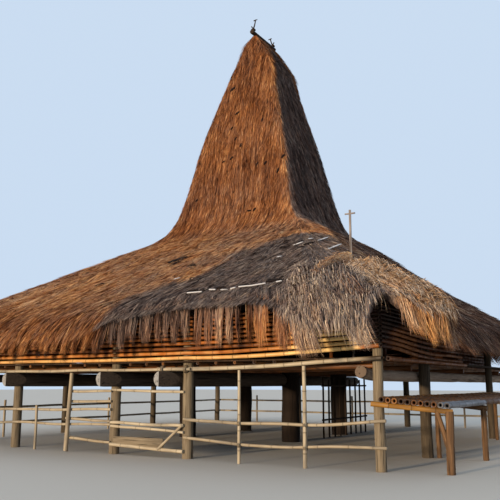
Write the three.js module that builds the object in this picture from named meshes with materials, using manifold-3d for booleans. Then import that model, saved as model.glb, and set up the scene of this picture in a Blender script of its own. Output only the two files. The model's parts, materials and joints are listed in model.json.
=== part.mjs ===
// Peaked thatched house on posts, in millimetres, +Z up.
// The origin is on the ground under the middle of the house. The front wall faces -Y and the veranda faces +X.
import * as THREE from "three";
import { mergeVertices } from "three/addons/utils/BufferGeometryUtils.js";
import Module from "manifold-3d";

const wasm = await Module();
wasm.setup();

// Clearance between two pieces that touch.
const GAP = 0.3;

// Plan: outer faces of the post lines, measured from the middle.
const SIDE_LINE = 6160;
const END_LINE = 6560;

// Floor layers, from the log beams up.
const LOG_TOP = 1766;
const BEARER = 120;
const JOIST = 70;
const JOIST_BITE = 12;
const DECK = 30;
const BEARERS = [-6240, -4200, 0, 4200, 6240];
const JOISTS = [-5600, -4200, -2750, -1200, 60, 1200, 2750, 4200, 5600];
const JOIST_TOP = LOG_TOP + GAP + BEARER + JOIST - JOIST_BITE;
const DECK_TOP = JOIST_TOP + GAP + DECK;
const DECK_EDGE = 100;
const POST_SLACK = 3;

// Roof: height of the hip slopes' straight inner face, and how much deeper the plan grows than it widens.
const INNER_START = { a: 2620, z: 5300 };
const INNER_FALL = 0.608;
const HIP = { a: 1980, b: 1850, ratio: 1.13 };
const SPLIT_Z = 6100;

// Rafters and the plates that carry them.
const RAFTER = 80;
const PLATE = { width: 160, height: 100 };

// Main posts inside, and the ring beam on them.
const MAIN = { x: 1700, y: 1570, radius: 240 };
const RING = { x: 1940, y: 1810, width: 240, height: 215 };

// Bamboo walls: courses of poles whose size and pitch shrink towards the eaves.
const COURSES = 10;
const COURSE_PITCH = 107;
const COURSE_PITCH_LOSS = 3;
const COURSE_RADIUS = 44;
const COURSE_RADIUS_LOSS = 1.6;
const STUD = { width: 60, depth: 60, bite: 20 };

// The near corner of the floor edge is swept up.
const SWEEP = { rise: 150, reach: 1700 };

// Veranda: the recess on the right side.
const VERANDA = { x: 5000, y: -1250, doorEnd: -250 };

// Bench along the right side.
const BENCH = {
  top: 1290,
  fall: 0.1,
  pole: 52,
  pitch: 100,
  count: 11,
  x: 6245,
  front: -6840,
  skew: 0.45,
  mid: -3650,
  back: 1850,
};

const colours = {
  thatch: [0x6b4424, 0.95],
  oldThatch: [0x6a5a4a, 0.95],
  timber: [0x7d6a55, 0.85],
  darkTimber: [0x4a3a2c, 0.9],
  bamboo: [0xb98a45, 0.6],
  paleBamboo: [0xc4b08a, 0.6],
};
const house = new THREE.Group();

// Shapes

function solid(geometry) {
  const bare = geometry.clone();
  bare.deleteAttribute("normal");
  bare.deleteAttribute("uv");
  const merged = mergeVertices(bare, 1e-3);
  return new wasm.Manifold(
    new wasm.Mesh({
      numProp: 3,
      vertProperties: merged.attributes.position.array,
      triVerts: new Uint32Array(merged.index.array),
    }),
  );
}

function geometryOf(body) {
  const mesh = body.getMesh();
  return new THREE.BufferGeometry()
    .setAttribute("position", new THREE.BufferAttribute(mesh.vertProperties, 3))
    .setIndex(new THREE.BufferAttribute(mesh.triVerts, 1));
}

function add(name, body, [color, roughness]) {
  const geometry = body.isBufferGeometry ? body : geometryOf(body);
  const material = new THREE.MeshStandardMaterial({ color, roughness, metalness: 0 });
  const mesh = new THREE.Mesh(geometry, material);
  mesh.name = name;
  house.add(mesh);
}

function joined(bodies) {
  return bodies.reduce((whole, next) => whole.add(next));
}

// A box from its lowest to its highest corner.
function box(low, high) {
  const size = high.map((h, i) => h - low[i]);
  const centre = high.map((h, i) => (h + low[i]) / 2);
  return solid(new THREE.BoxGeometry(...size).translate(...centre));
}

// A straight round pole between two points. Its flats lie at the given radius and face sideways.
function pole(from, to, radius, sides = 8) {
  const start = new THREE.Vector3(...from);
  const along = new THREE.Vector3(...to).sub(start);
  const wide = radius / Math.cos(Math.PI / sides);
  const geometry = new THREE.CylinderGeometry(wide, wide, along.length(), sides, 1);
  if (sides % 4 === 0) geometry.rotateY(Math.PI / sides);
  geometry.translate(0, along.length() / 2, 0);
  const turn = new THREE.Quaternion().setFromUnitVectors(new THREE.Vector3(0, 1, 0), along.normalize());
  return solid(geometry.applyQuaternion(turn).translate(...from));
}

// A bent round pole along a smooth curve through the points.
function bentPole(points, radius, steps, sides = 8) {
  const section = new THREE.Shape();
  const wide = radius / Math.cos(Math.PI / sides);
  for (let i = 0; i < sides; i++) {
    const angle = ((i + 0.5) * 2 * Math.PI) / sides;
    const corner = [wide * Math.cos(angle), wide * Math.sin(angle)];
    if (i) section.lineTo(...corner);
    else section.moveTo(...corner);
  }
  const curve = new THREE.CatmullRomCurve3(points.map((p) => new THREE.Vector3(...p)));
  return solid(new THREE.ExtrudeGeometry(section, { steps, extrudePath: curve, bevelEnabled: false }));
}

// A round pole along X that is lifted by rise(x) along its length.
function sweptPole(x0, x1, y, z, radius, rise, sides = 8, pitch = SWEEP.reach) {
  const wide = radius / Math.cos(Math.PI / sides);
  const length = x1 - x0;
  const geometry = new THREE.CylinderGeometry(wide, wide, length, sides, Math.ceil(length / pitch));
  if (sides % 4 === 0) geometry.rotateY(Math.PI / sides);
  geometry.rotateZ(-Math.PI / 2).translate(x0 + length / 2, y, z);
  const places = geometry.attributes.position;
  for (let i = 0; i < places.count; i++) places.setZ(i, places.getZ(i) + rise(places.getX(i)));
  return solid(geometry);
}

// A prism over a polygon in plan.
function prism(corners, low, high) {
  const shape = new THREE.Shape(corners.map((c) => new THREE.Vector2(...c)));
  const geometry = new THREE.ExtrudeGeometry(shape, { depth: high - low, bevelEnabled: false });
  return solid(geometry.translate(0, 0, low));
}

// Roof

// Outer outline of the thatch: height, half width, half depth and corner radius, from the ridge to the tower's foot.
// left, right and back are how much further the uneven sides stand out.
const TOWER_OUTER = [
  { z: 12620, a: 100, b: 620, r: 60 },
  { z: 12350, a: 270, b: 700, r: 120, left: 60, back: 60 },
  { z: 11610, a: 620, b: 800, r: 160, left: 40, right: 90, back: 120 },
  { z: 10780, a: 870, b: 980, r: 180, left: 80, right: 20, back: 20 },
  { z: 10010, a: 1080, b: 1140, r: 190, left: 120 },
  { z: 9280, a: 1270, b: 1290, r: 200, left: 160 },
  { z: 8580, a: 1450, b: 1420, r: 210, left: 160 },
  { z: 7900, a: 1610, b: 1530, r: 220, left: 160 },
  { z: 7180, a: 1780, b: 1660, r: 240, left: 160 },
  { z: 6500, a: 1970, b: 1820, r: 280, left: 150 },
  { z: SPLIT_Z, a: 2150, b: 2030, r: 330, left: 120 },
];
const TOWER_THICK = 250;
const TOWER_INNER_TOP = 11800;

// The skirt below the tower. Its half depth follows from its half width along the hips.
const SKIRT_OUTER = [
  { z: SPLIT_Z, a: 2150, r: 330, left: 120 },
  { z: 5830, a: 2370, r: 380, left: 60, right: 230, back: 260 },
  { z: 5620, a: 2620, r: 430, right: 320, back: 360 },
  { z: 4900, a: 3800, r: 620, left: -180, right: 0, back: -60 },
  { z: 4100, a: 5110, r: 900, left: -300, right: -150, back: -380 },
  { z: 3700, a: 5760, r: 1080, left: -300, right: -165, back: -380 },
  { z: 3310, a: 6400, r: 1250, left: -300, right: -180, back: -380 },
  { z: 3050, a: 6750, r: 1350, left: -220, right: -120, back: -300 },
  { z: 2750, a: 6990, r: 1420, left: -150, right: -60, back: -220 },
  { z: 2430, a: 7140, r: 1460, left: -60, right: -20, back: -100 },
  { z: 2120, a: 7200, r: 1480, left: 111, right: 111 },
];
// The outer face is drawn by points that run once round it: each side, then its next corner.
const LAP = { points: 192, cornerShare: 0.22, backRoundness: 0.58 };
// The grass lies in ribs down the slope, which run out at the tower and at the eaves.
const RIBS = { depth: 40, coarse: 9, fine: 5.75, eave: 2120, full: 2900, fade: 4900, tower: 5900 };
// Bundles that stand proud of it at the near corner, each around a line from its top to its foot.
const BUNDLES = [
  { top: [5050, -6050, 3750], foot: [5550, -7500, 2600], reach: 900, height: 150 },
  { top: [6050, -5750, 3950], foot: [6850, -7000, 2750], reach: 550, height: 160 },
  { top: [6350, -5600, 3750], foot: [7050, -6600, 2600], reach: 450, height: 140 },
  { top: [6500, -5200, 3600], foot: [7120, -6100, 2600], reach: 400, height: 120 },
];
const SKIRT_INNER = [
  { z: SPLIT_Z, a: 1880 },
  { z: innerHeight(2180), a: 2180 },
  { z: innerHeight(6400), a: 6400 },
  { z: 2740, a: 6700 },
  { z: 2430, a: 6860 },
  { z: 2120, a: 6910 },
];

function innerHeight(a) {
  return INNER_START.z - INNER_FALL * (a - INNER_START.a);
}

// Corner radius of the skirt's inside, which grows from the tower to the plates and then faster to the eaves.
function innerRadius(a) {
  const plate = 6400;
  const growth = a < plate ? 0.08 : 1.4;
  return 480 + growth * (a - plate);
}

// Half depth of the roof where its half width is a, along the hips.
function hipDepth(a) {
  return HIP.b + HIP.ratio * (a - HIP.a);
}

// Half width whose hip lies at half depth b.
function hipWidth(b) {
  return HIP.a + (b - HIP.b) / HIP.ratio;
}

// One level of a loft: a rounded rectangle with its own reach on each side.
function ring({ z, left, right, front, back, r, segments }) {
  const corners = [
    [right - r, back - r, 0],
    [-left + r, back - r, 1],
    [-left + r, -front + r, 2],
    [right - r, -front + r, 3],
  ];
  const points = [];
  for (const [cx, cy, quarter] of corners)
    for (let i = 0; i <= segments; i++) {
      const angle = ((quarter + i / segments) * Math.PI) / 2;
      points.push([cx + r * Math.cos(angle), cy + r * Math.sin(angle), z]);
    }
  return points;
}

// A solid through rings of equal count, listed from the top down, closed by flat ends.
function loft(rings) {
  const count = rings[0].length;
  const position = rings.flat(2);
  const index = [];
  for (let level = 0; level + 1 < rings.length; level++)
    for (let i = 0; i < count; i++) {
      const upper = level * count + i;
      const next = level * count + ((i + 1) % count);
      index.push(upper, upper + count, next, next, upper + count, next + count);
    }
  const last = (rings.length - 1) * count;
  for (let i = 1; i + 1 < count; i++) {
    index.push(0, i, i + 1);
    index.push(last, last + i + 1, last + i);
  }
  const geometry = new THREE.BufferGeometry();
  geometry.setAttribute("position", new THREE.Float32BufferAttribute(position, 3));
  return solid(geometry.setIndex(index));
}

// 0 up to low, 1 from high on, and smooth between them.
function smooth(value, low, high) {
  const share = Math.min(1, Math.max(0, (value - low) / (high - low)));
  return share * share * (3 - 2 * share);
}

// How far the grass stands out at a place. lap runs from 0 to 4 round the house.
function proud(lap, place) {
  const turns = 2 * Math.PI * lap;
  const wave = 0.6 * Math.sin(RIBS.coarse * turns + 1) + 0.4 * Math.sin(RIBS.fine * turns + 2);
  const low = smooth(place.z, RIBS.eave, RIBS.full);
  const rib = RIBS.depth * wave * (1 - smooth(place.z, RIBS.fade, RIBS.tower));
  const bundles = BUNDLES.map(({ top, foot, reach, height }) => {
    const line = new THREE.Line3(new THREE.Vector3(...top), new THREE.Vector3(...foot));
    const nearest = line.closestPointToPoint(place, true, new THREE.Vector3());
    return height * (1 - smooth(nearest.distanceTo(place), 0.35 * reach, reach));
  });
  return low * (rib + Math.max(...bundles));
}

// A level of the skirt's outer face. Its two back corners are less round than its front ones.
function skirtRing({ z, a, r, left = 0, right = 0, back = 0 }) {
  const reach = [a + right, hipDepth(a) + back, a + left, hipDepth(a)];
  const radii = [r * LAP.backRoundness, r * LAP.backRoundness, r, r];
  const points = [];
  for (let i = 0; i < LAP.points; i++) {
    const lap = (4 * i) / LAP.points;
    const side = Math.floor(lap);
    const last = (side + 3) % 4;
    const along = Math.min(1, (lap - side) / (1 - LAP.cornerShare));
    const turned = (Math.max(0, lap - side - 1 + LAP.cornerShare) / LAP.cornerShare) * (Math.PI / 2);
    const from = radii[last] - reach[last];
    const to = reach[(side + 1) % 4] - radii[side];
    const place = new THREE.Vector3(reach[side] - radii[side], from + (to - from) * along, z);
    const outward = new THREE.Vector3(Math.cos(turned), Math.sin(turned), 0);
    place.addScaledVector(outward, radii[side]);
    const axis = new THREE.Vector3(0, 0, 1);
    place.applyAxisAngle(axis, (side * Math.PI) / 2);
    outward.applyAxisAngle(axis, (side * Math.PI) / 2);
    place.addScaledVector(outward, proud(lap, place));
    points.push(place.toArray());
  }
  return points;
}

function evenRing({ z, a, b, r }, segments) {
  return ring({ z, left: a, right: a, front: b, back: b, r, segments });
}

// A level of the uneven outer face.
function outerRing({ z, a, b = hipDepth(a), r, left = 0, right = 0, back = 0 }, segments) {
  return ring({ z, left: a + left, right: a + right, front: b, back: b + back, r, segments });
}

function towerShell() {
  const segments = 2;
  const outer = TOWER_OUTER.map((level) => outerRing(level, segments));
  const bottom = TOWER_OUTER.at(-1);
  const levels = TOWER_OUTER.filter(({ z }) => z < TOWER_INNER_TOP && z > SPLIT_Z);
  const inner = levels.map(({ z, a, b, r }) =>
    evenRing({ z, a: a - TOWER_THICK, b: b - TOWER_THICK, r: r / 2 }, segments),
  );
  inner.push(evenRing({ z: SPLIT_Z - 1, a: 1880, b: hipDepth(1880), r: bottom.r / 2 }, segments));
  return loft(outer).subtract(loft(inner));
}

function skirtShell() {
  const segments = 5;
  const outer = SKIRT_OUTER.map(skirtRing);
  const inner = SKIRT_INNER.map(({ z, a }, i) => {
    const past = i === 0 ? 1 : i === SKIRT_INNER.length - 1 ? -1 : 0;
    return evenRing({ z: z + past, a, b: hipDepth(a), r: innerRadius(a) }, segments);
  });
  return loft(outer).subtract(loft(inner));
}

// Cuts a shell into its four faces along the hips. The hip line in plan is |y| = start + slope |x|.
function faces(shell, start, slope) {
  const far = 9000;
  const deep = start + slope * far;
  const low = 1000;
  const high = 13500;
  const endWedge = (side) => {
    const y = (depth) => side * (depth + GAP);
    const corners = [
      [0, y(start)],
      [far, y(deep)],
      [-far, y(deep)],
    ];
    return prism(side > 0 ? corners : corners.reverse(), low, high);
  };
  const sideWedge = (side) => {
    const tip = start > 0 ? [[0, start], [0, -start]] : [[-start / slope, 0]];
    const corners = [...tip, [far, -deep], [far, deep]].map(([x, y]) => [side * (x + GAP / 2), y]);
    return prism(side > 0 ? corners : corners.reverse(), low, high);
  };
  return {
    front: shell.intersect(endWedge(-1)),
    back: shell.intersect(endWedge(1)),
    right: shell.intersect(sideWedge(1)),
    left: shell.intersect(sideWedge(-1)),
  };
}

// Where the front eave's fringe has worn away to loose strands.
const WORN = { from: 300, to: 4900, top: 2900 };
// A hole through the eave at the near corner: the corner's middle, the hole's way out from it, and its outline.
const HOLE = {
  centre: [5670, -6210],
  turn: (38 * Math.PI) / 180,
  depth: [700, 2400],
  outline: [[-200, 2000], [200, 2000], [190, 2820], [60, 3030], [-100, 2970], [-190, 2780]],
};
// The mast for an overhead line comes up through the right slope.
const MAST = { x: 5000, y: -5000, radius: 26, top: 5160, armZ: 5080, arm: 115 };

function addThatch() {
  const towerStart = 330;
  const towerSlope = 0.756;
  const tower = faces(towerShell(), towerStart, towerSlope);
  for (const [side, body] of Object.entries(tower)) {
    const lifted = body.translate(0, 0, GAP);
    add(side + "_tower_thatch", lifted, colours.thatch);
  }
  const skirt = faces(skirtShell(), HIP.b - HIP.ratio * HIP.a, HIP.ratio);
  const wornBox = box([WORN.from, -8000, 2000], [WORN.to, -7000, WORN.top]);
  skirt.front = skirt.front.subtract(wornBox);
  const gash = prism(HOLE.outline, ...HOLE.depth)
    .rotate(90, 0, (HOLE.turn * 180) / Math.PI)
    .translate(...HOLE.centre, 0);
  skirt.front = skirt.front.subtract(gash);
  skirt.right = skirt.right.subtract(gash);
  const hole = pole([MAST.x, MAST.y, 2500], [MAST.x, MAST.y, 6000], MAST.radius + 3);
  skirt.right = skirt.right.subtract(hole);
  for (const [side, body] of Object.entries(skirt)) add(side + "_skirt_thatch", body, colours.oldThatch);
}

// The ridge pole lies on the tower's flat top, with crossed horns at both ends.
function addRidge() {
  const radius = 70;
  const z = TOWER_OUTER[0].z + 2 * GAP + radius;
  add("ridge_pole", pole([0, -760, z], [0, 720, z], radius), colours.darkTimber);
  const seat = z + radius + GAP;
  const horns = (y, lean, height) =>
    joined([
      box([-60, y - 50, seat], [60, y + 50, seat + 60]),
      pole([-20 * lean, y, seat + 20], [90 * lean, y, seat + height], 24, 6),
      pole([20 * lean, y - 10, seat + 20], [-60 * lean, y - 10, seat + height * 0.45], 24, 6),
      pole([90 * lean - 70, y, seat + height - 22], [90 * lean + 60, y, seat + height - 12], 20, 6),
    ]);
  add("front_finial", horns(-660, 1, 370), colours.darkTimber);
  add("back_finial", horns(620, -1, 330), colours.darkTimber);
}

// Rafters, purlins and the plate of one slope, built facing -Y and turned into place.
// Along the slope, depth is the distance from the middle. growth is how fast the hips widen per depth.
function slopeFrame({ fall, plateDepth, plateHalf, inner, outer, rafters, hipAt, purlins }) {
  const hipClear = 60;
  const top = (depth) => inner.z - fall * (depth - inner.depth) - (2 * GAP) / Math.cos(Math.atan(fall));
  const thick = RAFTER / Math.cos(Math.atan(fall));
  const strip = (from, to, dropTop, dropBottom) => {
    const shape = new THREE.Shape();
    shape.moveTo(from, top(from) - dropTop);
    shape.lineTo(from, top(from) - dropBottom);
    shape.lineTo(to, top(to) - dropBottom);
    shape.lineTo(to, top(to) - dropTop);
    return shape;
  };
  // Extrudes a side outline, drawn as depth and height, along X.
  const sideways = (shape, x0, x1) => {
    const geometry = new THREE.ExtrudeGeometry(shape, { depth: x1 - x0, bevelEnabled: false });
    return solid(geometry.rotateX(Math.PI / 2).rotateZ(-Math.PI / 2).translate(x1, 0, 0));
  };
  const pieces = rafters.map((x) => {
    const reach = Math.abs(x) + RAFTER / 2;
    const from = Math.max(outer.top, hipAt.depth(reach + innerRadius(reach) + hipClear));
    return sideways(strip(from, outer.end, 0, thick), x - RAFTER / 2, x + RAFTER / 2);
  });
  for (const depth of purlins) {
    const width = hipAt.width(depth);
    const half = width - innerRadius(width) - hipClear;
    pieces.push(sideways(strip(depth - 35, depth + 35, 10, thick - 6), -half, half));
  }
  const plateTop = top(plateDepth) - thick + 12;
  const plate = box(
    [-plateHalf, -plateDepth, plateTop - PLATE.height],
    [plateHalf, -plateDepth + PLATE.width, plateTop],
  );
  return joined([...pieces, plate]);
}

function addRafters() {
  const hips = { depth: hipDepth, width: hipWidth };
  const turned = { depth: hipWidth, width: hipDepth };
  const end = slopeFrame({
    fall: INNER_FALL / HIP.ratio,
    plateDepth: END_LINE,
    plateHalf: SIDE_LINE - PLATE.width - GAP,
    inner: { z: INNER_START.z, depth: hipDepth(INNER_START.a) },
    outer: { top: 1600, end: hipDepth(6330) },
    rafters: [-4400, -2400, 0, 2400, 4400],
    hipAt: hips,
    purlins: [3100, 4300, 5500],
  });
  const side = slopeFrame({
    fall: INNER_FALL,
    plateDepth: SIDE_LINE,
    plateHalf: END_LINE,
    inner: { z: INNER_START.z, depth: INNER_START.a },
    outer: { top: 1760, end: 6330 },
    rafters: [-4700, -2500, 0, 2500, 4700],
    hipAt: turned,
    purlins: [2900, 4050, 5200],
  });
  add("front_rafters", end, colours.darkTimber);
  add("back_rafters", end.rotate([0, 0, 180]), colours.darkTimber);
  add("right_rafters", side.rotate([0, 0, 90]), colours.darkTimber);
  add("left_rafters", side.rotate([0, 0, -90]), colours.darkTimber);
}

// Ring beam on the main posts, and the bent legs and hoops that hold the tower's thatch.
function addTowerFrame() {
  const slack = 1.2;
  const ringTop = innerHeight(RING.x) - RAFTER / Math.cos(Math.atan(INNER_FALL)) - slack;
  const hoop = (a, b, r, width, top, height) => {
    const sleeve = (inset, from, to) =>
      loft([to, from].map((z) => evenRing({ z, a: a - inset, b: b - inset, r }, 1)));
    return sleeve(0, top - height, top).subtract(sleeve(width, top - height - 1, top + 1));
  };
  const bodies = [hoop(RING.x, RING.y, 20, RING.width, ringTop, RING.height)];
  for (const { z, a, b, r } of [TOWER_OUTER[8], TOWER_OUTER[5], TOWER_OUTER[3]]) {
    const inset = TOWER_THICK + 2 * GAP;
    bodies.push(hoop(a - inset, b - inset, r * 0.6, 90, z, 80));
  }
  const legs = [
    [1790, 1660, ringTop - 100],
    [1450, 1330, 7140],
    [940, 960, 9240],
    [530, 610, 10780],
  ];
  for (const sx of [-1, 1])
    for (const sy of [-1, 1])
      for (let i = 0; i < 3; i++) {
        const [from, to] = [legs[i], legs[i + 1]].map(([x, y, z]) => [sx * x, sy * y, z]);
        bodies.push(pole(from, to, 45, 6));
      }
  add("tower_frame", joined(bodies), colours.darkTimber);
  const ringBottom = ringTop - RING.height;
  for (const [nameX, sx] of [["left", -1], ["right", 1]])
    for (const [nameY, sy] of [["front", -1], ["back", 1]]) {
      const foot = [sx * MAIN.x, sy * MAIN.y, 0];
      const head = [sx * MAIN.x, sy * MAIN.y, ringBottom - GAP];
      add(`main_post_${nameY}_${nameX}`, pole(foot, head, MAIN.radius, 12), colours.timber);
    }
}

// Posts

const plateUnder = {
  end: slopeFoot(END_LINE, hipDepth(INNER_START.a), INNER_FALL / HIP.ratio),
  side: slopeFoot(SIDE_LINE, INNER_START.a, INNER_FALL),
};

// Underside of the plate that carries a slope's rafters.
function slopeFoot(plateDepth, innerDepth, fall) {
  const slope = Math.cos(Math.atan(fall));
  const rafterTop = INNER_START.z - fall * (plateDepth - innerDepth) - (2 * GAP) / slope;
  return rafterTop - RAFTER / slope + 12 - PLATE.height;
}

// Perimeter posts: name, place along its line, radius. Each stands with its outer face on the line.
const FRONT_POSTS = [
  ["front_left_corner_post", "left", 100],
  ["front_left_post", -3300, 110],
  ["front_centre_post", -115, 110],
  ["front_right_post", 1875, 115],
  ["front_right_corner_post", "right", 95],
];
const BACK_POSTS = [
  ["back_left_corner_post", "left", 100],
  ["back_left_post", -2200, 110],
  ["back_right_post", 2200, 110],
  ["back_right_corner_post", "right", 100],
];
const SIDE_POSTS = [
  ["left_front_post", -1, -2200, 100],
  ["left_back_post", -1, 2200, 100],
  ["right_front_post", 1, -3700, 120],
  ["right_back_post", 1, 2300, 100],
];

function postPlaces() {
  const places = [];
  const alongX = (place, radius) => {
    if (place === "left") return radius - SIDE_LINE;
    if (place === "right") return SIDE_LINE - radius;
    return place;
  };
  for (const [name, place, radius] of FRONT_POSTS)
    places.push({ name, radius, x: alongX(place, radius), y: radius - END_LINE, top: plateUnder.end });
  for (const [name, place, radius] of BACK_POSTS)
    places.push({ name, radius, x: alongX(place, radius), y: END_LINE - radius, top: plateUnder.end });
  for (const [name, side, y, radius] of SIDE_POSTS)
    places.push({ name, radius, x: side * (SIDE_LINE - radius), y, top: plateUnder.side });
  for (const place of places)
    if (place.name.includes("corner")) place.top = Math.min(plateUnder.end, plateUnder.side);
  return places;
}

// The posts stand from the ground to the plates. The centre log is housed in the posts it crosses.
function addPosts() {
  const { x: logX } = HOUSED_LOG;
  const reach = BIG_LOG + GAP;
  for (const { name, radius, x, y, top } of postPlaces()) {
    let post = pole([x, y, 0], [x, y, top - GAP], radius, 12);
    if (Math.abs(x - logX) < radius + reach)
      post = post.subtract(box([logX - reach, y - 200, LOG_TOP - 2 * reach], [logX + reach, y + 200, LOG_TOP + GAP]));
    add(name, post, colours.timber);
  }
}

// Floor

// Log beams under the floor: name, middle across, radius, front end, back end.
const RIGHT_LOG = 110;
const BIG_LOG = 162;
const HOUSED_LOG = { name: "centre_log_beam", x: -3 };
const LOGS = [
  ["left_log_beam", 200 + RIGHT_LOG + GAP - SIDE_LINE, RIGHT_LOG, -7050, 7050],
  ["left_centre_log_beam", BIG_LOG + GAP - 3190, BIG_LOG, -7060, 6950],
  [HOUSED_LOG.name, HOUSED_LOG.x, BIG_LOG, -7060, 6950],
  ["right_centre_log_beam", 1760 - BIG_LOG - GAP, BIG_LOG, -7060, -MAIN.y - MAIN.radius - 60],
];

// A log whose front end is cut with an axe: the cut slants back from a ridge to the right.
function axedLog(x, radius, front, back) {
  const log = pole([x, front, LOG_TOP - radius], [x, back, LOG_TOP - radius], radius, 12);
  const ridge = x - radius * 0.2;
  const right = x + radius + 20;
  const corners = [
    [ridge, front - 1],
    [right, front - 1],
    [right, front + 2.4 * (right - ridge)],
  ];
  return log.subtract(prism(corners, LOG_TOP - 3 * radius, LOG_TOP + radius));
}

function addLogs() {
  for (const [name, x, radius, front, back] of LOGS)
    add(name, axedLog(x, radius, front, back), colours.timber);
  // The right beam's front tip bends up.
  const x = SIDE_LINE - 240 - GAP - RIGHT_LOG;
  const z = LOG_TOP - RIGHT_LOG;
  const path = [[x, -6650, z + 62], [x, -6560, z + 36], [x, -6400, z], [x, -6250, z - 8]];
  const tip = bentPole(path, RIGHT_LOG - 6, 4);
  add("right_log_beam", joined([tip, pole([x, -6300, z], [x, 7050, z], RIGHT_LOG)]), colours.timber);
}

function addFloor() {
  const bearerTop = LOG_TOP + GAP + BEARER;
  const bearerEnd = SIDE_LINE - 220;
  const bars = [];
  for (const y of BEARERS)
    bars.push(box([-bearerEnd, y - BEARER / 2, LOG_TOP + GAP], [bearerEnd, y + BEARER / 2, bearerTop]));
  const joistEnd = END_LINE + DECK_EDGE;
  for (const x of JOISTS)
    bars.push(box([x - JOIST / 2, -joistEnd, bearerTop - JOIST_BITE], [x + JOIST / 2, joistEnd, JOIST_TOP]));
  add("floor_joists", joined(bars), colours.bamboo);

  const deckX = SIDE_LINE + DECK_EDGE;
  const deckY = END_LINE + DECK_EDGE;
  let deck = box([-deckX, -deckY, JOIST_TOP + GAP], [deckX, deckY, DECK_TOP]);
  const places = postPlaces();
  for (const x of [-MAIN.x, MAIN.x])
    for (const y of [-MAIN.y, MAIN.y]) places.push({ x, y, radius: MAIN.radius });
  for (const { x, y, radius } of places) {
    const reach = radius + POST_SLACK;
    deck = deck.subtract(box([x - reach, y - reach, LOG_TOP], [x + reach, y + reach, DECK_TOP + 1]));
  }
  add("floor_deck", deck, colours.bamboo);
}

// The pale poles along the front edge lie on the log beams' ends and are spliced side by side.
// The right one sweeps up at the near corner.
const EDGE_POLE = { radius: 40, from: 1250, to: 6230, y: -(END_LINE + DECK_EDGE + 42) };
const LEFT_EDGE_POLE = { radius: 34, from: -6300, to: 2150 };

function sweep(distance) {
  return SWEEP.rise * Math.exp(-((distance / SWEEP.reach) ** 2));
}

function addEdgePole() {
  const lift = (x) => sweep(SIDE_LINE - x);
  const { from, to, radius } = EDGE_POLE;
  const right = sweptPole(from, to, EDGE_POLE.y, LOG_TOP + radius + GAP, radius, lift, 8, 500);
  const y = EDGE_POLE.y - EDGE_POLE.radius - LEFT_EDGE_POLE.radius + 8;
  const z = LOG_TOP + LEFT_EDGE_POLE.radius + GAP;
  const left = pole([LEFT_EDGE_POLE.from, y, z], [LEFT_EDGE_POLE.to, y, z], LEFT_EDGE_POLE.radius);
  add("front_edge_pole", joined([right, left]), colours.paleBamboo);
}

// Walls

function courseHeights() {
  const rows = [];
  let z = DECK_TOP + GAP + COURSE_RADIUS / Math.cos(Math.PI / 6);
  for (let i = 0; i < COURSES; i++) {
    rows.push({ z, radius: COURSE_RADIUS - COURSE_RADIUS_LOSS * i });
    z += COURSE_PITCH - COURSE_PITCH_LOSS * i;
  }
  return rows;
}

// A bamboo wall along X at the given line, from x0 to x1, with studs that bind its courses.
// The studs stand on the +Y side. rise gives how far the wall's foot is swept up at a place.
function bambooWall({ x0, x1, line, studs, studTop, rise }) {
  const bodies = courseHeights().map(({ z, radius }, i) => {
    const share = 1 - i / (COURSES - 1);
    if (!rise) return pole([x0, line, z], [x1, line, z], radius, 6);
    return sweptPole(x0, x1, line, z, radius, (x) => share * rise(x), 6);
  });
  const near = line + COURSE_RADIUS - STUD.bite;
  for (const x of studs) {
    const low = [x - STUD.width / 2, near, DECK_TOP + GAP];
    bodies.push(box(low, [x + STUD.width / 2, near + STUD.depth, studTop]));
  }
  return joined(bodies);
}

function addWalls() {
  const endLine = END_LINE + GAP + COURSE_RADIUS;
  const sideLine = SIDE_LINE + GAP + COURSE_RADIUS;
  const wallEnd = SIDE_LINE - GAP;
  const studTop = Math.min(plateUnder.end, plateUnder.side) - GAP;

  const front = bambooWall({
    x0: -wallEnd,
    x1: wallEnd,
    line: -endLine,
    studs: [-5900, -1900, 1300, 5200],
    studTop,
    rise: (x) => sweep(SIDE_LINE - x),
  });
  add("front_wall", front, colours.bamboo);

  // Side walls are built along X and turned by a quarter.
  const right = bambooWall({
    x0: -END_LINE - 90,
    x1: VERANDA.y + COURSE_RADIUS,
    line: -sideLine,
    studs: [-6300, -4200, -1350],
    studTop,
    rise: (x) => sweep(x + END_LINE),
  });
  add("right_wall", right.rotate([0, 0, 90]), colours.bamboo);

  const left = bambooWall({
    x0: -END_LINE - 90,
    x1: END_LINE + 90,
    line: -sideLine,
    studs: [-6300, 0, 6300],
    studTop,
  });
  add("left_wall", left.rotate([0, 0, -90]), colours.bamboo);

  const back = bambooWall({
    x0: -VERANDA.x - COURSE_RADIUS,
    x1: wallEnd,
    line: -endLine,
    studs: [-4900, 500, 5900],
    studTop,
  });
  add("back_wall", back.rotate([0, 0, 180]), colours.bamboo);

  const inner = bambooWall({
    x0: VERANDA.doorEnd,
    x1: END_LINE - GAP,
    line: -VERANDA.x,
    studs: [VERANDA.doorEnd + 60, 3300],
    studTop: studTop + 420,
  });
  add("veranda_wall", inner.rotate([0, 0, 90]), colours.bamboo);

  const end = bambooWall({
    x0: VERANDA.x - COURSE_RADIUS,
    x1: wallEnd - 66,
    line: VERANDA.y + COURSE_RADIUS + 60,
    studs: [5500],
    studTop,
  });
  add("veranda_end_wall", end, colours.bamboo);
}

// Rails of the pens under the floor

// A straight rail along X that lies against the outer face of the posts on the front line.
function rail(x0, z0, x1, z1, radius, line = END_LINE) {
  const y = -(line + 2 * GAP + radius);
  return pole([x0, y, z0], [x1, y, z1], radius);
}

// The place of a prop that stands outside the rails and is tied to them.
const PROP_OUT = 64;

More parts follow.
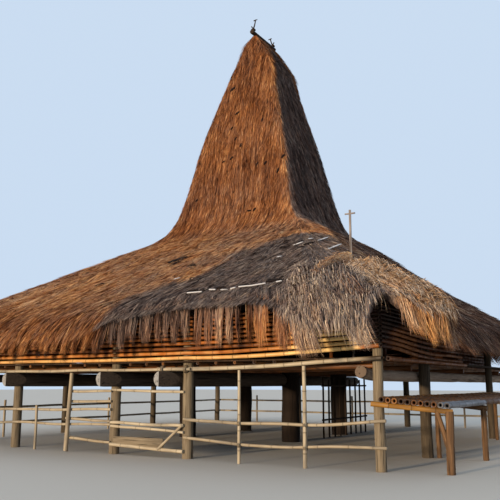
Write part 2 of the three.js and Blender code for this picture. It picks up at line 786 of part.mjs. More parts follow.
function addRails() {
  const propY = -(END_LINE + PROP_OUT);
  const postX = Object.fromEntries(FRONT_POSTS);

  // Right bay: two wavy rails tied to two thin poles that prop the edge pole.
  const props = [[4700, 40], [3280, 34]];
  const right = props.map(([x, radius]) => {
    const top = LOG_TOP + sweep(SIDE_LINE - x) - 3.5;
    return pole([x, EDGE_POLE.y + 10, 0], [x, EDGE_POLE.y + 10, top], radius);
  });
  const start = postX.front_right_post + 5;
  for (const [heights, radius] of [[[800, 745, 760, 870], 32], [[430, 340, 350, 405], 30]]) {
    const near = -(END_LINE + 2 * GAP + radius);
    const far = EDGE_POLE.y + 40;
    const [z0, z1, z2, z3] = heights;
    const path = [[start, near, z0], [props[1][0], far, z1], [props[0][0], far, z2], [SIDE_LINE + 70, near - 2, z3]];
    right.push(bentPole(path, radius, 6));
  }
  add("front_right_rails", joined(right), colours.paleBamboo);

  // Centre bay: two rails, a bottom rail with a board on it, and a brace across them.
  const from = postX.front_centre_post + 5;
  const to = postX.front_right_post - 5;
  const centre = [
    rail(from, 675, to, 660, 33),
    rail(from, 605, to, 525, 30),
    rail(from, 215, to, 150, 38),
    box([from + 100, -END_LINE - 52, 190], [1350, -END_LINE - 20, 385]),
    pole([1230, propY, 165], [1850, propY, 670], 28),
  ];
  add("front_centre_rails", joined(centre), colours.paleBamboo);

  // Left bays: rails tied to a leaning prop and a stake.
  const leftEnd = -SIDE_LINE - 60;
  const last = postX.front_centre_post - 5;
  const left = [
    pole([-1390, propY - 30, 16], [-1300, propY - 30, LOG_TOP - 12], 52),
    pole([-2430, propY, 0], [-2440, propY, 1010], 32),
    rail(-1400, 1345, last, 1350, 30),
    rail(-1430, 1115, last, 1130, 32),
    rail(leftEnd, 850, last, 950, 34),
    rail(-1480, 735, last, 700, 34),
    rail(leftEnd, 560, last, 630, 32),
    rail(-1480, 300, last, 250, 34),
  ];
  add("front_left_rails", joined(left), colours.paleBamboo);

  // Plain pens along the left side and the back.
  const plain = (half, line, stakes) => {
    const bodies = [850, 420].map((z) => rail(-half, z, half, z, 33, line));
    for (const x of stakes) bodies.push(pole([x, -line - PROP_OUT, 0], [x, -line - PROP_OUT, 1050], 36));
    return joined(bodies);
  };
  const leftPen = plain(END_LINE - 20, SIDE_LINE, [-4400, 0, 4400]);
  add("left_rails", leftPen.rotate([0, 0, -90]), colours.paleBamboo);
  const backPen = plain(SIDE_LINE + 60, END_LINE, [-4200, 0, 4200]);
  add("back_rails", backPen.rotate([0, 0, 180]), colours.paleBamboo);
}

// A row of upright sticks beside the main posts.
function addPalisade() {
  const radius = 28;
  const x = MAIN.x + MAIN.radius + GAP + radius;
  const bodies = [500, 1450].map((z) => pole([x, -150, z], [x, 3150, z], radius, 6));
  for (let i = 0; i < 9; i++) {
    const y = -100 + i * 390;
    bodies.push(pole([x, y, 0], [x, y, 1690 - 60 * (i % 2)], radius, 6));
  }
  add("pen_palisade", joined(bodies), colours.darkTimber);
}

// Bench

// The bench falls away from the house and its front edge runs askew: height and front end of the pole at a place.
function benchPole(x) {
  const out = x - BENCH.x;
  return { z: BENCH.top - BENCH.pole - BENCH.fall * out, front: BENCH.front + BENCH.skew * out };
}

function addBench() {
  const barRadius = 48;
  const wideBar = 58;
  const tilt = Math.atan(BENCH.fall);
  const seat = BENCH.pole * (1 + BENCH.fall * Math.tan(Math.PI / 8)) + GAP;
  const barZ = (x, radius) => benchPole(x).z - seat - radius / Math.cos(tilt);
  const right = BENCH.x + BENCH.pitch * (BENCH.count - 1);

  // A bar under the poles, laid flat first and then tilted as the bench falls.
  const bar = (from, to, radius) =>
    pole([from[0] - BENCH.x, from[1], 0], [to[0] - BENCH.x, to[1], 0], radius)
      .rotate(0, THREE.MathUtils.radToDeg(tilt), 0)
      .translate(BENCH.x, 0, barZ(BENCH.x, radius));
  const deck = (frontEnd, to) => {
    const bodies = [];
    for (let i = 0; i < BENCH.count; i++) {
      const x = BENCH.x + BENCH.pitch * i;
      const { z, front } = benchPole(x);
      bodies.push(pole([x, frontEnd ?? front, z], [x, to, z], BENCH.pole));
    }
    return joined(bodies);
  };
  add("bench_front_deck", deck(undefined, BENCH.mid - 20), colours.bamboo);
  add("bench_back_deck", deck(BENCH.mid + 20, BENCH.back + 150), colours.bamboo);

  // Front frame: the bar runs askew from the front of the corner post to a stout leg with a slanting brace.
  const post = { x: SIDE_LINE - 95, y: -END_LINE + 95, radius: 95 };
  const barSkew = 0.3206;
  const barOut = (post.radius / Math.cos(Math.PI / 12) + 2 * GAP + barRadius) * Math.hypot(1, barSkew);
  const frontBarY = (x) => post.y - barOut + barSkew * (x - post.x);
  const legX = 7230;
  const legY = frontBarY(legX);
  const barPoint = (x) => [x, frontBarY(x)];
  const braceTop = legX - 190;
  const front = [
    bar(barPoint(post.x - 85), barPoint(right + 50), barRadius),
    pole([legX, legY, 0], [legX, legY, barZ(legX, barRadius)], 78),
    pole([legX - 20, legY + 40, 350], [...barPoint(braceTop), barZ(braceTop, barRadius)], 45),
  ];
  add("bench_front_frame", joined(front), colours.timber);

  // Middle and back frames: a bar on two legs.
  for (const [name, y] of [["bench_middle_frame", BENCH.mid], ["bench_back_frame", BENCH.back]]) {
    const leg = (x, radius) => pole([x, y, 0], [x, y, barZ(x, wideBar)], radius);
    const across = bar([BENCH.x - 40, y], [right + 50, y], wideBar);
    add(name, joined([across, leg(BENCH.x + 30, 50), leg(right - 30, 60)]), colours.timber);
  }
}

// The mast stands on the deck and carries a short cross arm.
function addMast() {
  const { x, y, radius, top, armZ, arm } = MAST;
  const mast = pole([x, y, DECK_TOP + GAP], [x, y, top], radius);
  const cross = box([x - arm, y - 15, armZ - 15], [x + arm, y + 15, armZ + 15]);
  add("service_mast", joined([mast, cross]), colours.darkTimber);
}

addThatch();
addRidge();
addRafters();
addTowerFrame();
addPosts();
addLogs();
addFloor();
addEdgePole();
addWalls();
addRails();
addPalisade();
addBench();
addMast();

export default house;
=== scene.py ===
import json
import math

import bpy
import numpy as np
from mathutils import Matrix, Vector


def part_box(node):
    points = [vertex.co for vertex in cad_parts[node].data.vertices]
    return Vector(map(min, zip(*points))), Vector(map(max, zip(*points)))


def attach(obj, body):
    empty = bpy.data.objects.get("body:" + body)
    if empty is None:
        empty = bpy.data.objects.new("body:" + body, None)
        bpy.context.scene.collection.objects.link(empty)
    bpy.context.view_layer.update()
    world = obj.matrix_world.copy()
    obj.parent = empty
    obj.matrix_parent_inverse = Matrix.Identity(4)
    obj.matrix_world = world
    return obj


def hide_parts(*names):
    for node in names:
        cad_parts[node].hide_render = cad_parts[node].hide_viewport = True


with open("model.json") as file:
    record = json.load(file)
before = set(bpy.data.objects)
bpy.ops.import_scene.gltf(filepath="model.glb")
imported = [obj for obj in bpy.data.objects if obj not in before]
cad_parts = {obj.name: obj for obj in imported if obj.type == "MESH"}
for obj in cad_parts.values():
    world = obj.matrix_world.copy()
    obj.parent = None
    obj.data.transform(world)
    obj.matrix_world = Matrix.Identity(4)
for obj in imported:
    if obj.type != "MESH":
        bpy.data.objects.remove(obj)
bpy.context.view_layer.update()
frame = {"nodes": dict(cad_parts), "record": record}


rng = np.random.default_rng(12)


# Camera, lights and floor

EYE = (10.6, -18.37, 1.5)
YAW = math.radians(31.2)
PITCH = math.radians(11.0)
FOCAL_PIXELS = 690
FRAME_PIXELS = 500
SENSOR = 36
SUN_POWER, SUN_SPREAD, SUN_TILT, SUN_TURN = 5.0, math.radians(4), math.radians(85), math.radians(-11)
SUN_COLOUR = (1.0, 0.80, 0.56)
SKY_COLOUR, SKY_POWER = (0.66, 0.80, 0.98, 1), 0.9
FLOOR_HALF, FLOOR_Z = 150, -0.002
FLOOR_COLOUR, FLOOR_ROUGHNESS = (0.56, 0.50, 0.42, 1), 0.95


def make_camera():
    camera = bpy.data.objects.new("camera", bpy.data.cameras.new("camera"))
    camera.location = EYE
    camera.rotation_euler = (math.pi / 2 + PITCH, 0, YAW)
    camera.data.sensor_width = SENSOR
    camera.data.lens = SENSOR * FOCAL_PIXELS / FRAME_PIXELS
    camera.data.clip_end = 400
    bpy.context.scene.collection.objects.link(camera)
    bpy.context.scene.camera = camera


def make_light():
    key = bpy.data.objects.new("key", bpy.data.lights.new("key", "SUN"))
    key.data.energy = SUN_POWER
    key.data.angle = SUN_SPREAD
    key.data.color = SUN_COLOUR
    key.rotation_euler = (SUN_TILT, 0, SUN_TURN)
    bpy.context.scene.collection.objects.link(key)
    world = bpy.data.worlds.new("studio")
    world.use_nodes = True
    background = world.node_tree.nodes["Background"]
    background.inputs["Color"].default_value = SKY_COLOUR
    background.inputs["Strength"].default_value = SKY_POWER
    bpy.context.scene.world = world
    bpy.context.scene.view_settings.view_transform = "Standard"
    bpy.context.scene.view_settings.look = "None"


def make_floor():
    mesh = bpy.data.meshes.new("floor")
    square = [(x * FLOOR_HALF, y * FLOOR_HALF, FLOOR_Z) for x, y in ((-1, -1), (1, -1), (1, 1), (-1, 1))]
    mesh.from_pydata(square, [], [(0, 1, 2, 3)])
    floor = bpy.data.objects.new("floor", mesh)
    material = bpy.data.materials.new("floor")
    material.use_nodes = True
    shader = material.node_tree.nodes["Principled BSDF"]
    shader.inputs["Base Color"].default_value = FLOOR_COLOUR
    shader.inputs["Roughness"].default_value = FLOOR_ROUGHNESS
    mesh.materials.append(material)
    bpy.context.scene.collection.objects.link(floor)


# Smooth value noise on arrays of points, the same in every run


def lattice(cells, seed):
    value = cells[..., 0] * 374761393 + cells[..., 1] * 668265263 + cells[..., 2] * 2147483647
    value = value + seed * 1274126177
    value = (value ^ (value >> 13)) * 1274126177
    value = value ^ (value >> 16)
    return (value & 0xFFFFFF) / 0xFFFFFF


def noise(points, scale, seed=0):
    """Noise from -1 to 1 at each point. scale is how many lumps there are in a metre, along X, Y and Z."""
    p = np.asarray(points, float) * scale
    base = np.floor(p).astype(np.int64)
    part = p - base
    part = part * part * (3 - 2 * part)
    total = np.zeros(p.shape[:-1])
    for corner in range(8):
        step = np.array([corner & 1, corner >> 1 & 1, corner >> 2 & 1])
        weight = np.prod(np.where(step, part, 1 - part), axis=-1)
        total += weight * lattice(base + step, seed)
    return 2 * total - 1


def unit(v):
    return v / np.maximum(np.linalg.norm(v, axis=-1, keepdims=True), 1e-9)


def smooth(x, low, high):
    t = np.clip((x - low) / (high - low), 0, 1)
    return t * t * (3 - 2 * t)


def near_line(p, top, foot, inner, outer):
    """1 within inner metres of the line from top to foot, and 0 from outer metres on."""
    top, line = np.array(top), np.array(foot) - np.array(top)
    share = np.clip(((p - top) @ line) / (line @ line), 0, 1)
    return 1 - smooth(np.linalg.norm(p - top - share[..., None] * line, axis=-1), inner, outer)


def curve(x, places):
    """The value at x of a line through the places, each a pair of x and value."""
    xs, values = zip(*places)
    return np.interp(x, xs, values)


# Meshes built from arrays


class Heap:
    """Pieces that become one mesh. Each point has a tone, a mark and a grain vector for the material."""

    def __init__(self):
        self.points, self.tones, self.marks, self.grains = [], [], [], []
        self.faces = {3: [], 4: []}
        self.count = 0

    def add(self, points, faces, tone=0.5, mark=0.0, grain=None):
        n = len(points)
        self.points.append(np.asarray(points, float))
        self.tones.append(np.broadcast_to(tone, n).astype(float))
        self.marks.append(np.broadcast_to(mark, n).astype(float))
        self.grains.append(np.asarray(points if grain is None else grain, float))
        for shape in faces:
            shape = np.asarray(shape)
            self.faces[shape.shape[1]].append(shape + self.count)
        self.count += n

    def build(self, name, look, slot, replaces=(), flat=False):
        """Makes the piece. look is its material, slot is not used, and replaces the solids it stands for."""
        mesh = bpy.data.meshes.new(name)
        points = np.concatenate(self.points)
        loops, starts, totals = [], [], []
        at = 0
        for corner_count, shapes in self.faces.items():
            if not shapes:
                continue
            shapes = np.concatenate(shapes)
            loops.append(shapes.ravel())
            starts.append(at + corner_count * np.arange(len(shapes)))
            totals.append(np.full(len(shapes), corner_count))
            at += shapes.size
        loops, starts, totals = (np.concatenate(x).astype(np.int32) for x in (loops, starts, totals))
        mesh.vertices.add(len(points))
        mesh.vertices.foreach_set("co", points.astype(np.float32).ravel())
        mesh.loops.add(len(loops))
        mesh.loops.foreach_set("vertex_index", loops)
        mesh.polygons.add(len(starts))
        mesh.polygons.foreach_set("loop_start", starts)
        mesh.polygons.foreach_set("loop_total", totals)
        for key, values in (("tone", self.tones), ("mark", self.marks)):
            layer = mesh.attributes.new(key, "FLOAT", "POINT")
            layer.data.foreach_set("value", np.concatenate(values).astype(np.float32))
        layer = mesh.attributes.new("grain", "FLOAT_VECTOR", "POINT")
        layer.data.foreach_set("vector", np.concatenate(self.grains).astype(np.float32).ravel())
        mesh.update(calc_edges=True)
        mesh.validate()
        mesh.materials.append(looks[look])
        if not flat:
            mesh.shade_smooth()
        piece = bpy.data.objects.new(name, mesh)
        bpy.context.scene.collection.objects.link(piece)
        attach(piece, "root")
        if replaces:
            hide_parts(*replaces)


def grid_faces(rows, columns, closed):
    """Quads of a grid of points, row by row. closed joins each row's end to its start."""
    i = np.arange(rows - 1)[:, None]
    j = np.arange(columns if closed else columns - 1)[None, :]
    k = (j + 1) % columns
    a, b = i * columns + j, i * columns + k
    return np.stack([a, a + columns, b + columns, b], -1).reshape(-1, 4)


def fan(count):
    """Triangles that join a ring of points to the one point after them."""
    j = np.arange(count)
    return np.stack([j, (j + 1) % count, np.full(count, count)], 1)


def rounded(table, times):
    """The rows of a table with smoothed bends. Its first and last rows stay."""
    for _ in range(times):
        table[1:-1] = (table[:-2] + 2 * table[1:-1] + table[2:]) / 4
    return table


def resample(path, stations):
    """Points along a polyline at the given distances from its start, rounded at its bends."""
    path = np.asarray(path, float)
    steps = np.linalg.norm(np.diff(path, axis=0), axis=1)
    along = np.concatenate([[0], np.cumsum(steps)])
    if len(path) > 2:
        fine = np.linspace(0, along[-1], 80)
        table = np.stack([np.interp(fine, along, path[:, k]) for k in range(3)], 1)
        along, path = fine, rounded(table, 12)
    return np.stack([np.interp(stations, along, path[:, k]) for k in range(3)], 1)


# A bamboo's joint: half its length, how much thicker it is, and how far from it the plain rings begin. The
# bore of a cut end: its greatest depth, and as a share of the pole, and how much darker the end can be.
JOINT_HALF, JOINT_SWELL, JOINT_CLEAR = 0.016, 1.10, 0.05
BORE_DEPTH, BORE_SHARE, END_DARKER = 0.12, 0.3, 0.9
# A pole strays less near its ends: the stretch where that eases off, and the share left at the very end.
EASE_REACH, EASE_LEFT = 0.5, 0.25
GRAIN_SHIFT = 7.3
CHAMFER, CHAMFER_SHARE = 0.006, 0.12
LASHING_TURNS, TURN_STEPS = 4, 8


def stations_of(length, step, knots):
    """Distances of a pole's rings from its start, each with its mark and its swell at a bamboo's joint."""
    rings = {}
    if knots:
        at = knots * rng.uniform(0.2, 0.9)
        while at < length - 2 * JOINT_HALF:
            rings.update({at - JOINT_HALF: (0, 1.0), at: (1, JOINT_SWELL), at + JOINT_HALF: (0, 1.0)})
            at += knots * rng.uniform(0.8, 1.2)
    clear = JOINT_CLEAR if knots else 0
    places = list(rings)
    for s in np.linspace(0, length, max(2, int(length / step) + 1)):
        if s in (0.0, length) or all(abs(s - place) > clear for place in places):
            rings.setdefault(s, (0, 1.0))
    stations = np.array(sorted(rings))
    marks, swells = zip(*(rings[s] for s in stations))
    return stations, np.array(marks, float), np.array(swells)


def pole(heap, path, radius, tone, sides=8, knots=0.0, wander=0.0, rough=0.0, bore=0.0, step=0.5, taper=0.0):
    """A round pole along a path. tone is a number or a function of place, knots the spacing of a bamboo's
    joints, wander how far it strays from its line, rough how uneven its skin is, bore the share of its radius
    that is hollow at its ends, step the greatest spacing of its rings, and taper how much thinner it gets."""
    path = np.asarray(path, float)
    length = np.linalg.norm(np.diff(path, axis=0), axis=1).sum()
    stations, mark, swell = stations_of(length, step, knots)
    centre = resample(path, stations)
    ahead = unit(np.gradient(centre, axis=0) if len(centre) > 2 else np.repeat(np.diff(centre, axis=0), 2, 0))
    reference = np.eye(3)[np.argmin(np.abs(ahead.mean(0)))]
    side = unit(np.cross(ahead, reference))
    up = np.cross(side, ahead)
    shift = rng.uniform(0, 100)
    if wander:
        ease = np.minimum(1, np.minimum(stations, length - stations) / EASE_REACH + EASE_LEFT)[:, None]
        key = np.stack([stations, np.full_like(stations, shift), np.zeros_like(stations)], 1)
        stray = side * noise(key, 0.9, 3)[:, None] + up * noise(key, 0.9, 4)[:, None]
        centre = centre + wander * ease * stray
    angle = np.arange(sides) * 2 * np.pi / sides + np.pi / sides
    spread = np.repeat((radius * swell * (1 - taper * stations / length))[:, None], sides, 1)
    tones = np.repeat(tone(centre), sides) if callable(tone) else tone
    turn = np.stack(np.broadcast_arrays(np.cos(angle)[None], np.sin(angle)[None], stations[:, None]), -1)
    if rough:
        uneven = noise(turn * [1.2, 1.2, 1.6] + shift, 1, 5) + 0.5 * noise(turn * [4, 4, 3] + shift, 1, 6)
        spread = spread * (1 + rough * uneven)
    offset = np.cos(angle)[None, :, None] * side[:, None] + np.sin(angle)[None, :, None] * up[:, None]
    points = centre[:, None] + offset * spread[..., None]
    local = turn * [radius, radius, 1] + [0, 0, GRAIN_SHIFT * shift]
    rows = len(stations)
    skin = [grid_faces(rows, sides, True)]
    heap.add(points.reshape(-1, 3), skin, tones, np.repeat(mark, sides), local.reshape(-1, 3))
    depth = min(BORE_DEPTH, length * BORE_SHARE)
    for row, inward in ((0, ahead[0]), (rows - 1, -ahead[-1])):
        shade = tone(centre[row]) if callable(tone) else tone
        pole_end(heap, points[row], centre[row], inward, local[row], bore, row == 0, depth, shade)


def pole_end(heap, rim, middle, inward, local, bore, first, depth, tone):
    """Closes a pole's end: a plain cut, or the thick rim and bore of a cut bamboo, whose inside is painted
    dark as shade.
    """
    sides = len(rim)
    flat = fan(sides)[:, [0, 2, 1]]
    if not bore:
        shapes = [flat if first else flat[:, ::-1]]
        heap.add(np.vstack([rim, middle]), shapes, tone, 0.0, np.vstack([local, local.mean(0)]))
        return
    lip = middle + (rim - middle) * bore
    well = lip + inward * depth
    ring = np.concatenate([rim, lip, well, [well.mean(0)]])
    quads = grid_faces(3, sides, True)[:, ::-1]
    flat = flat + 2 * sides
    mark = np.concatenate([np.zeros(2 * sides), np.full(sides + 1, 2.0)])
    shapes = [quads, flat] if first else [quads[:, ::-1], flat[:, ::-1]]
    heap.add(ring, shapes, tone - rng.uniform(0, END_DARKER), mark, ring)


def plank(heap, low, high, tone=0.5, along=0):
    """A board with small chamfers. along is its long axis."""
    low, high = np.array(low, float), np.array(high, float)
    across = [k for k in range(3) if k != along]
    w, h = (high[k] - low[k] for k in across)
    c = min(CHAMFER_SHARE * w, CHAMFER_SHARE * h, CHAMFER)
    section = np.array([(c, 0), (w - c, 0), (w, c), (w, h - c), (w - c, h), (c, h), (0, h - c), (0, c)])
    points = np.zeros((2, 8, 3))
    points[..., along] = np.array([low[along], high[along]])[:, None]
    for k, axis in enumerate(across):
        points[..., axis] = low[axis] + section[:, k]
    local = points[..., [across[0], across[1], along]] + [0, 0, rng.uniform(0, 50)]
    faces = grid_faces(2, 8, True)
    end = np.array([[0, 1, 2, 3], [0, 3, 4, 7], [4, 5, 6, 7]])
    shapes = [faces, end, end[:, ::-1] + 8]
    if along == 1:
        shapes = [shape[:, ::-1] for shape in shapes]
    heap.add(points.reshape(-1, 3), shapes, tone, 0.0, local.reshape(-1, 3))


def lashing(heap, centre, axis, radius, width=0.05, thick=0.006, tone=0.5):
    """A few turns of split rattan around a crossing."""
    axis = unit(np.array(axis, float))
    side = unit(np.cross(axis, np.eye(3)[np.argmin(np.abs(axis))]))
    up = np.cross(side, axis)
    t = np.linspace(0, 1, LASHING_TURNS * TURN_STEPS + 1)[:, None]
    angle = 2 * np.pi * LASHING_TURNS * t
    out = np.cos(angle) * side + np.sin(angle) * up
    path = np.array(centre) + radius * out + (t - 0.5) * width * axis
    over = np.cross(unit(np.gradient(path, axis=0)), out)
    ring = [path + thick * (a * out + 1.6 * b * over) for a, b in ((1, 0), (0, 1), (-1, 0), (0, -1))]
    heap.add(np.stack(ring, 1).reshape(-1, 3), [grid_faces(len(path), 4, True)], tone, 0.0)


# Materials


class Nodes:
    """Short forms for making a material's nodes."""

    def __init__(self, name):
        self.material = bpy.data.materials.new(name)
        self.material.use_nodes = True
        self.tree = self.material.node_tree
        self.shader = self.tree.nodes["Principled BSDF"]

    def put(self, target, value):
        if isinstance(value, bpy.types.NodeSocket):
            self.tree.links.new(value, target)
        else:
            target.default_value = value

    def node(self, kind, inputs=None, **settings):
        made = self.tree.nodes.new(kind)
        for key, value in settings.items():
            setattr(made, key, value)
        for key, value in (inputs or {}).items():
            self.put(made.inputs[key], value)
        return made

    def attribute(self, name, output="Fac"):
        made = self.node("ShaderNodeAttribute", attribute_name=name, attribute_type="GEOMETRY")
        return made.outputs[output]

    def place(self):
        return self.node("ShaderNodeTexCoord").outputs["Object"]

    def math(self, operation, a, b=0.0, clamp=False):
        return self.node("ShaderNodeMath", {0: a, 1: b}, operation=operation, use_clamp=clamp).outputs[0]

    def plus(self, a, b, clamp=False):
        return self.math("ADD", a, b, clamp)

    def minus(self, a, b, clamp=False):
        return self.math("SUBTRACT", a, b, clamp)

    def times(self, a, b, clamp=False):
        return self.math("MULTIPLY", a, b, clamp)

    def noise(self, vector, scale, detail=3.0, rough=0.55):
        """scale is how many lumps there are in a metre, along X, Y and Z."""
        stretched = self.node("ShaderNodeMapping", {"Vector": vector, "Scale": scale}).outputs[0]
        inputs = {"Vector": stretched, "Scale": 1.0, "Detail": detail, "Roughness": rough}
        return self.node("ShaderNodeTexNoise", inputs).outputs["Fac"]

    def ramp(self, value, stops):
        made = self.node("ShaderNodeValToRGB", {"Fac": value})
        band = made.color_ramp
        while len(band.elements) < len(stops):
            band.elements.new(0.5)
        for element, (place, colour) in zip(band.elements, stops):
            element.position = place
            element.color = (*colour, 1)
        return made.outputs["Color"]

    def tinted(self, value, stops):
        """A ramp whose colours are as seen, from 0 to 255."""
        return self.ramp(value, [(place, tint(*colour)) for place, colour in stops])

    def step(self, value, low, high):
        """0 below low and 1 above high, or the other way round where high is the smaller."""
        flip = high < low
        ends = [(high, (1.0,) * 3), (low, (0.0,) * 3)] if flip else [(low, (0.0,) * 3), (high, (1.0,) * 3)]
        return self.ramp(value, ends)

    def mix(self, share, a, b):
        made = self.node("ShaderNodeMix", data_type="RGBA")
        self.put(made.inputs[0], share)
        self.put(made.inputs[6], a)
        self.put(made.inputs[7], b)
        return made.outputs[2]

    def finish(self, colour, roughness, height, bump, distance, specular):
        """Joins up the shader. bump is the strength of the relief that height makes, distance its depth."""
        self.put(self.shader.inputs["Base Color"], colour)
        self.put(self.shader.inputs["Roughness"], roughness)
        self.shader.inputs["Specular IOR Level"].default_value = specular
        made = self.node("ShaderNodeBump", {"Height": height, "Strength": bump, "Distance": distance})
        self.put(self.shader.inputs["Normal"], made.outputs[0])
        return self.material


def tint(red, green, blue):
    """A colour as seen, from 0 to 255, in the renderer's linear values."""
    return tuple((c / 255) ** 2.2 for c in (red, green, blue))


# Stops of a colour ramp for fresh and for weathered grass. Painted shade in the grass's pits and in a
# bamboo's bore.
BROWN_GRASS = [(0.04, (34, 18, 11)), (0.3, (112, 66, 38)), (0.55, (166, 108, 66)), (0.9, (226, 170, 108))]
OLD_GRASS = [(0.04, (34, 29, 28)), (0.3, (90, 78, 74)), (0.55, (134, 118, 108)), (0.9, (220, 196, 168))]
PIT_SHADE_COLOUR, BORE_SHADE_COLOUR = (0.012, 0.007, 0.005, 1), (0.012, 0.008, 0.005, 1)


def thatch_material(name):
    """Dry grass. tone is its shade and mark how grey it has weathered. The grain's X is 0 where the strands
    lie across X, as on the front, and 1 where they lie across Y. Its Y is the distance down the roof."""
    n = Nodes(name)
    tone = n.attribute("tone")
    grey = n.attribute("mark")
    parts = n.node("ShaderNodeSeparateXYZ", {"Vector": n.attribute("grain", "Vector")}).outputs
    place = n.place()

    def strands(fine, slow, detail):
        front = n.noise(place, (fine, slow, slow), detail, 0.6)
        side = n.noise(place, (slow, fine, slow), detail, 0.6)
        return n.node("ShaderNodeMix", {0: parts["X"], 2: front, 3: side}, data_type="FLOAT").outputs[0]

    streak = strands(38, 1.6, 4)
    bundle = strands(10, 0.9, 3)
    cloud = n.noise(place, (1.1, 1.1, 1.1), 4)
    # The bundles lie in wavy courses, each with a dark line of painted shade under it.
    course = n.math("FRACT", n.plus(n.times(parts["Y"], 2.6), n.times(cloud, 1.6)))
    under = n.step(course, 0.86, 1.0)
    shade = n.times(tone, 0.62)
    for value, share in ((streak, 0.85), (bundle, 0.55), (cloud, 0.3)):
        shade = n.plus(shade, n.times(n.minus(value, 0.42), share))
    shade = n.minus(shade, n.times(under, 0.05), clamp=True)
    brown = n.tinted(shade, BROWN_GRASS)
    old = n.tinted(shade, OLD_GRASS)
    age = n.plus(grey, n.times(n.minus(n.noise(place, (3, 3, 3), 3), 0.5), 0.5), clamp=True)
    colour = n.mix(age, brown, old)
    # Small pits in the grass are painted near-black: painted shade in the holes.
    pit_shade = n.step(n.noise(place, (7, 7, 3.2), 2), 0.735, 0.76)
    colour = n.mix(n.times(pit_shade, 0.75), colour, PIT_SHADE_COLOUR)
    height = n.plus(n.plus(streak, n.times(bundle, 1.4)), n.times(course, 0.5))
    return n.finish(colour, 0.92, height, 0.7, 0.03, 0.1)


def bamboo_material(name, light, body, dark, grey, worn=0.5):
    """tone is the pole's shade. mark is 1 at a joint and 2 in a bore, which painted shade darkens. The
    grain's Z runs along the pole.
    """
    n = Nodes(name)
    grain = n.attribute("grain", "Vector")
    tone = n.attribute("tone")
    joint = n.attribute("mark")
    streak = n.noise(grain, (70, 70, 1.4), 3)
    blotch = n.noise(grain, (9, 9, 1.3), 3)
    band = n.noise(grain, (0.5, 0.5, 2.6), 1)
    shade = n.plus(n.times(tone, 0.7), n.times(n.minus(streak, 0.4), 0.5))
    shade = n.plus(shade, n.times(n.minus(band, 0.4), 0.5), clamp=True)
    colour = n.tinted(shade, [(0.05, dark), (0.4, body), (0.8, light)])
    patches = n.step(blotch, 0.52, 0.68)
    colour = n.mix(n.times(patches, worn), colour, (*tint(*grey), 1))
    colour = n.mix(n.times(joint, 0.7, clamp=True), colour, (*tint(*dark), 1))
    # The inside of a bore is painted near-black: painted shade in the hollow.
    colour = n.mix(n.minus(joint, 1.0, clamp=True), colour, BORE_SHADE_COLOUR)
    gloss = n.ramp(blotch, [(0.4, (0.45,) * 3), (0.7, (0.75,) * 3)])
    height = n.plus(n.times(streak, 0.4), joint)
    return n.finish(colour, gloss, height, 0.5, 0.006, 0.3)


def wood_material(name, light, body, dark, placed=False):
    """Weathered timber with fibres and splits along the grain's Z. placed takes the place as its grain."""
    n = Nodes(name)
    grain = n.place() if placed else n.attribute("grain", "Vector")
    fibre = n.noise(grain, (55, 55, 8 if placed else 2.2), 4, 0.65)
    cloud = n.noise(grain, (5, 5, 1.3), 3)
    split = n.step(n.noise(grain, (26, 26, 0.9), 2), 0.39, 0.33)
    shade = n.plus(n.times(fibre, 0.6), n.times(cloud if placed else n.attribute("tone"), 0.4))
    colour = n.tinted(shade, [(0.28, dark), (0.5, body), (0.74, light)])
    colour = n.mix(n.times(cloud, 0.5), colour, (*tint(*body), 1))
    colour = n.mix(n.times(split, 0.7), colour, (*(0.3 * c for c in tint(*dark)), 1))
    height = n.minus(fibre, n.times(split, 1.6))
    return n.finish(colour, 0.86, height, 0.7, 0.012, 0.2)


# Bamboo: its light, middle, dark and worn colours, and how much of it is worn.
BAMBOOS = {
    "bamboo": ((226, 184, 118), (164, 94, 36), (44, 23, 11), (84, 56, 36), 0.6),
    "golden_bamboo": ((190, 150, 84), (144, 102, 46), (60, 38, 16), (92, 70, 44), 0.7),
    "red_bamboo": ((146, 92, 52), (92, 52, 29), (38, 20, 12), (72, 54, 40)),
    "pale_bamboo": ((172, 158, 134), (130, 114, 92), (54, 44, 33), (98, 91, 82), 0.7),
    "brown_bamboo": ((150, 104, 58), (104, 64, 32), (44, 28, 16), (92, 74, 58)),
    "grey_bamboo": ((172, 170, 170), (126, 124, 126), (66, 62, 62), (104, 104, 108)),
}
# Timber: its light, middle and dark colours. The smoked wood inside the house goes by place.
WOODS = {
    "post_wood": ((158, 143, 120), (112, 99, 81), (44, 36, 29)),
    "log_wood": ((112, 98, 84), (72, 62, 54), (34, 29, 26)),
    "torn_leaf": ((200, 198, 198), (170, 166, 166), (104, 100, 98)),
    "leg_wood": ((162, 122, 84), (88, 66, 47), (30, 23, 18)),
    "beam_wood": ((190, 170, 150), (146, 126, 108), (74, 60, 50)),
    "mast_wood": ((176, 166, 160), (128, 118, 112), (66, 60, 56)),
    # The cut log ends are greyed and darkened, partly as painted shade.
    "shaded_cut_wood": ((152, 150, 148), (124, 120, 116), (70, 66, 62)),
    # Its colours are darkened partly as painted shade, for the main posts and sticks that stand under the
    # house.
    "dark_and_shaded_wood": ((92, 72, 54), (52, 40, 31), (24, 18, 14)),
    "smoked_wood": ((84, 62, 44), (50, 37, 27), (24, 18, 14), True),
}
looks = {"thatch": thatch_material("thatch")}
looks.update({name: bamboo_material(name, *colours) for name, colours in BAMBOOS.items()})
looks.update({name: wood_material(name, *colours) for name, colours in WOODS.items()})


# Roof

